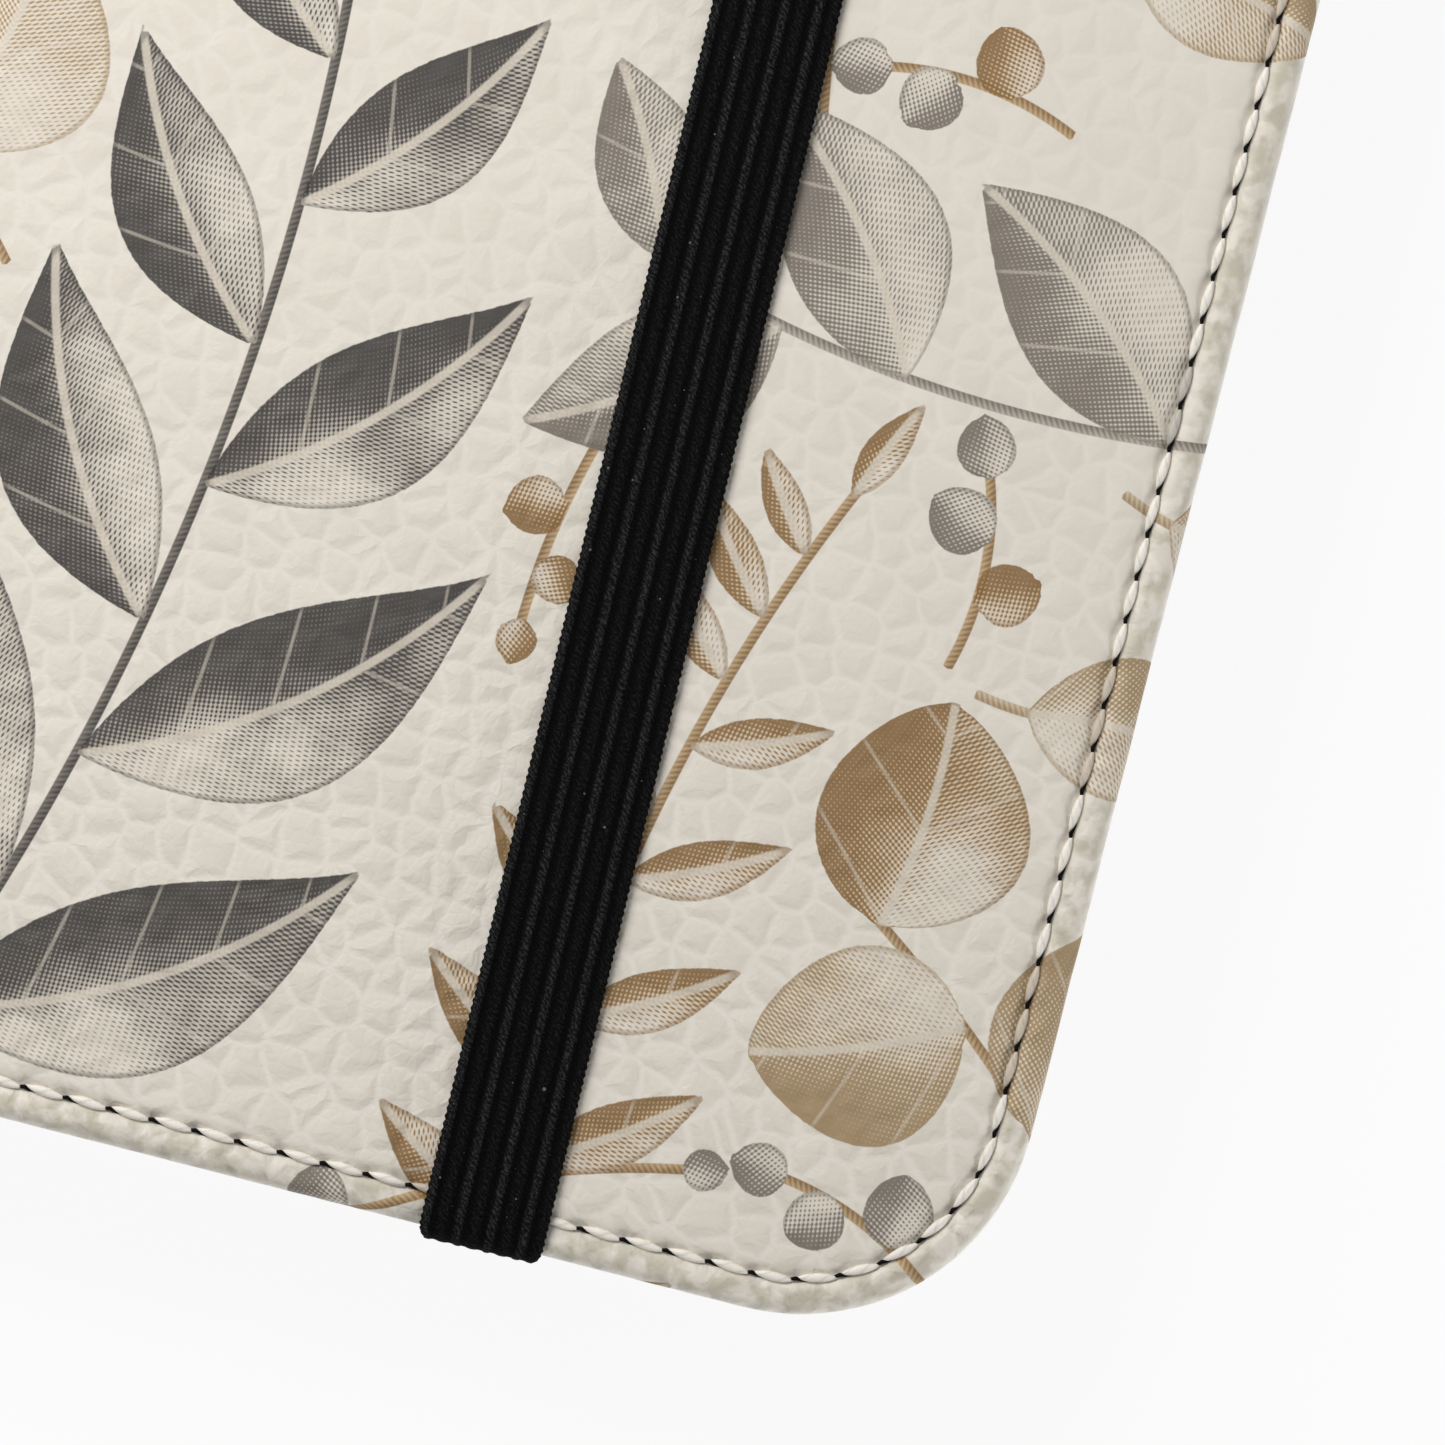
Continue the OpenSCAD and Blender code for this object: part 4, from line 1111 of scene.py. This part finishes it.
# Spine lining: a slab made flat, then stood up behind the spine's board
lining_z, lining_y = np.meshgrid(run(FOLD_R, CASE_H - FOLD_R, 0.9), run(RIM_R - HALF_L, HALF_L - RIM_R, 1.2))
slab, quads, _ = cloth_slab(lining_z, lining_y, 0.0, LINING_T)
slab = places(COVER_T - HALF_W - slab[:, 2], slab[:, 1], slab[:, 0])
soft_edges(make_piece("spine_lining_cloth", (slab, outward(slab, quads), {}), LINING, "spine",
                      ["spine_lining"]), LINING_EDGE)

# Fold linings: a pleat in polar form about the fold's axis, with a flap at each end
FOLD_AXIS = FOLD_R * (1 - pi / 4)
PLEAT_DEEP, PLEAT_T, PLEAT_SPREAD = 1.9, 0.03, 0.045
COVER_FLAP_X, SPINE_FLAP_X, SPINE_FLAP_Z = [-37.3, -37.8], [-38.33, -38.33], [3.5, 4.0]
for cover, side in COVERS:
    f = np.linspace(0, 1, 25)
    mouth = math.hypot(FOLD_R - FOLD_AXIS, COVER_T - FOLD_AXIS)
    radius = PLEAT_DEEP + (mouth - PLEAT_DEEP) * np.abs(2 * f - 1) ** 1.5
    angle = pi / 4 + (f - 0.5) * PLEAT_SPREAD
    px = chain(COVER_FLAP_X, FOLD_AXIS - HALF_W + radius * np.cos(angle), SPINE_FLAP_X)
    pz = chain([COVER_T + 0.03, COVER_T + 0.03], FOLD_AXIS + radius * np.sin(angle), SPINE_FLAP_Z)
    pz = CASE_H - pz if side > 0 else pz
    gx, gy = np.meshgrid(px, run(RIM_R + 0.15 - HALF_L, HALF_L - RIM_R - 0.15, 1.6))
    points = places(gx, gy, pz)
    quads = facing(points, grid_quads(*gx.shape), (1, 0, -side))
    pleat = make_piece(cover + "_fold_lining", skin(points, quads, {}, PLEAT_T), LINING, crisp=True)
    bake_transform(pleat)

# Pad under the shell, with the camera window through it
PAD_HALF_W, PAD_HALF_L, PAD_LOW, PAD_HIGH = 34.2, 63.0, COVER_T + 0.01, COVER_T + 0.79
pad_x, pad_y = np.meshgrid(run(-PAD_HALF_W, PAD_HALF_W, 0.9), run(-PAD_HALF_L, PAD_HALF_L, 0.9))
pad_face = places(pad_x, pad_y, PAD_HIGH)
pad_quads = facing(pad_face, grid_quads(*pad_x.shape), (0, 0, 1))
make_piece("shell_foam_pad", backed(*punched(pad_face, pad_quads, {}), PAD_LOW), FOAM, "back_cover",
           ["shell_pad"], crisp=True)


# Pockets: the slip pocket lies on the lining, and each card pocket a layer further in
CARD_LEFT, CARD_RIGHT, SLIP_LEFT, SLIP_RIGHT, POCKET_END = -29.5, 32.5, -33.7, 36.7, 72.0
SCOOP_R, SCOOP_DEPTH, SCOOP_HALF, SEWN_IN = 9.0, 5.0, 8.06, 1.25
CARD_MIDDLE = (CARD_LEFT + CARD_RIGHT) / 2
CARD_POCKETS = (("upper", 2, 18.0), ("middle", 3, 4.0), ("lower", 4, -10.0))
POCKET_EDGE, POCKET_THREAD_R = 0.12, 0.2


def pocket_layer(layer):
    """Level of the outer face of a pocket so many layers in from the lining."""
    return FRONT_INNER_Z - layer * POCKET_T


def pocket_fall(xs, ys, left, right, mouth, open_left=False):
    """Relief of a pocket's outer face: a fine valley just inside each sewn edge and a creased line and low roll
    along the mouth, each a bell curve of the distance from that edge."""
    sewn = np.minimum(right - xs, ys + POCKET_END)
    sewn = sewn if open_left else np.minimum(sewn, xs - left)
    lip = mouth - ys
    return 0.1 * bell(sewn, SEWN_IN, 0.35) + CREASE_DEEP * bell(lip, 1.9, 0.3) - 0.1 * bell(lip, 0.7, 0.7)


def make_pocket(name, layer, xs, ys, fall):
    """A pocket's leather, in place of the node of its name."""
    low = pocket_layer(layer)
    soft_edges(make_piece(name + "_leather", cloth_slab(xs, ys, low, low + SHEET_T, fall), POCKET,
                          "front_cover", [name]), POCKET_EDGE)


for pocket_name, layer, mouth_y in CARD_POCKETS:
    scoop_ends = [CARD_MIDDLE - SCOOP_HALF, CARD_MIDDLE + SCOOP_HALF]
    across = np.unique(chain(run(CARD_LEFT, CARD_RIGHT, 0.8), scoop_ends))
    chord = np.maximum(SCOOP_R ** 2 - (across - CARD_MIDDLE) ** 2, (SCOOP_R - SCOOP_DEPTH) ** 2)
    mouth = mouth_y + SCOOP_R - SCOOP_DEPTH - np.sqrt(chord)
    share = run(0, 1, 0.85 / (mouth_y + POCKET_END))[:, None]
    ys = share * (mouth + POCKET_END) - POCKET_END
    xs = across + 0 * ys
    make_pocket("card_pocket_" + pocket_name, layer, xs, ys, pocket_fall(xs, ys, CARD_LEFT, CARD_RIGHT, mouth))
xs, ys = np.meshgrid(run(SLIP_LEFT, SLIP_RIGHT, 0.9), run(-POCKET_END, POCKET_END, 0.9))
slip_mouth = xs - SLIP_LEFT - np.abs(ys)
make_pocket("slip_pocket", 1, xs, ys, pocket_fall(xs, -np.abs(ys), SLIP_LEFT, SLIP_RIGHT, slip_mouth, True))

# Pocket seams, only where no other pocket lies over them: layer, start and end
SEAM_LEFT, SEAM_RIGHT, SEAM_Y = CARD_LEFT + SEWN_IN, CARD_RIGHT - SEWN_IN, POCKET_END - SEWN_IN
SLIP_SEAM_L, SLIP_SEAM_R, SLIP_SEAM_X = SLIP_LEFT + 1.2, SLIP_RIGHT - 1.7, SLIP_RIGHT - SEWN_IN
MOUTH_GAP, CARD_GAP, POCKET_STITCH_HALF, POCKET_SINK = 1.0, 0.7, 1.15, 0.06
pocket_seams, low = [], -SEAM_Y
for _, layer, mouth_y in CARD_POCKETS[::-1]:
    pocket_seams += [(layer, (x, low), (x, mouth_y - MOUTH_GAP)) for x in (SEAM_LEFT, SEAM_RIGHT)]
    low = mouth_y + MOUTH_GAP
pocket_seams += [
    (4, (SEAM_LEFT + SEWN_IN, -SEAM_Y), (SEAM_RIGHT - SEWN_IN, -SEAM_Y)),
    (1, (SLIP_SEAM_L, SEAM_Y), (SLIP_SEAM_R, SEAM_Y)),
    (1, (SLIP_SEAM_L, -SEAM_Y), (CARD_LEFT - CARD_GAP, -SEAM_Y)),
    (1, (CARD_RIGHT + CARD_GAP, -SEAM_Y), (SLIP_SEAM_R, -SEAM_Y)),
    (1, (SLIP_SEAM_X, SEWN_IN - SEAM_Y), (SLIP_SEAM_X, SEAM_Y - SEWN_IN))]
seam_parts = []
for layer, start, stop in pocket_seams:
    a, b = (np.array([*end, pocket_layer(layer)]) for end in (start, stop))
    length = np.linalg.norm(b - a)
    count = max(1, round(length / STITCH_PITCH))
    centres = a + (b - a) * ((np.arange(count) + 0.5) / count)[:, None] + np.array([0, 0, POCKET_SINK])
    ways, ups = np.tile((b - a) / length, (count, 1)), np.tile([0.0, 0.0, -1.0], (count, 1))
    dyes = np.tile(linear(DARK_GREY), (count, 1))
    half = min(POCKET_STITCH_HALF, length / count * 0.43)
    seam_parts.append(stitch_row(centres, ways, ups, half, POCKET_THREAD_R, dyes))
make_piece("pocket_thread", joined(seam_parts), BLACK_THREAD, "front_cover")


# Rigid nodes that keep their own shape
for node, material in (("phone_shell", SHELL), ("back_board", BOARD), ("spine_board", BOARD), ("front_board", BOARD)):
    slots = frame["nodes"][node].data.materials
    slots.clear()
    slots.append(material)


# Floor, light and view

# Half size and level of the floor in m, the sky's light, and the ray length below which the floor is clear, so that it
# doesn't darken the back cover
FLOOR_HALF, FLOOR_Z, SKY_LIGHT, LOOK_THROUGH = 3, -0.0002, 0.3, 0.002
# Each lamp: name, place, aim, size in m and power in W
LAMPS = (("key", (-0.19, 0.14, 0.28), (0.01, -0.04, 0.015), 0.22, 1.2),
         ("fill", (0.5, -0.3, 0.075), (0.03, -0.05, 0.015), 0.13, 1.3))


def background_seen(node):
    """1 for a ray from the camera, a gloss or a clear body, which sees the white background, and 0 for any other;
    and the ray's length."""
    rays = node("LightPath")
    seen = node("Math MAXIMUM", rays["Is Camera Ray"], rays["Is Glossy Ray"])
    return node("Math MAXIMUM", seen, rays["Is Transmission Ray"]), rays["Ray Length"]


def studio():
    """A white floor that keeps part of the shadow and is clear from below, a soft lamp over the top left of the
    picture, a low one for the rolled edge, and an even sky."""
    floor_mesh = bpy.data.meshes.new("floor")
    corners = [(x * FLOOR_HALF, y * FLOOR_HALF, FLOOR_Z) for x, y in ((-1, -1), (1, -1), (1, 1), (-1, 1))]
    floor_mesh.from_pydata(corners, [], [(0, 1, 2, 3)])
    placed("floor", floor_mesh)
    node, finish = new_material("white_paper_floor", Roughness=0.9, Base_Color="#f4f4f4")
    seen, ray_length = background_seen(node)
    place = node("TexCoord")["Object"]
    away = node("VectorMath LENGTH", place)
    bare = node("MapRange SMOOTHSTEP", away, 0.12, 0.4, 0.92, 1.0)
    # Under the case the floor is only in shadow, as seen through the camera window
    beyond = node("VectorMath ABSOLUTE", place)
    beyond = node("VectorMath SUBTRACT", beyond, (CORNER_X * MM, CORNER_Y * MM, 1.0))
    beyond = node("VectorMath LENGTH", node("VectorMath MAXIMUM", beyond, (0, 0, 0)))
    outside = node("MapRange", beyond, (CORNER_R - 6) * MM, (CORNER_R - 3) * MM)
    share = node("Math MULTIPLY", seen, node("Math MULTIPLY", bare, outside))
    tree = finish().node_tree
    white = node("Emission", (1, 1, 1, 1), 1.0)
    both = node("MixShader", share, tree.nodes["Principled BSDF"].outputs[0], white)
    close = node("Math LESS_THAN", ray_length, LOOK_THROUGH)
    clear = node("Math MAXIMUM", close, node("NewGeometry")["Backfacing"])
    one_sided = node("MixShader", clear, both, node("BsdfTransparent"))
    tree.links.new(one_sided, tree.nodes["Material Output"].inputs["Surface"])
    floor_mesh.materials.append(finish())

    world = bpy.data.worlds.new("studio")
    bpy.context.scene.world = world
    world.use_nodes = True
    sky = world.node_tree
    node = partial(add, sky)
    strength = node("MapRange", background_seen(node)[0], None, None, SKY_LIGHT, 1.0)
    plug(sky, sky.nodes["Background"].inputs["Strength"], strength)
    plug(sky, sky.nodes["Background"].inputs["Color"], (1, 1, 1, 1))

    for lamp_name, place, aim, size, power in LAMPS:
        lamp = bpy.data.lights.new(lamp_name, "AREA")
        lamp.shape, lamp.size, lamp.energy = "DISK", size, power
        holder = placed(lamp_name, lamp)
        holder.location, holder.visible_camera = place, False
        aim_way = Vector(aim) - Vector(place)
        holder.rotation_euler = aim_way.to_track_quat("-Z", "Y").to_euler()


studio()
bpy.context.scene.view_settings.view_transform = "Standard"
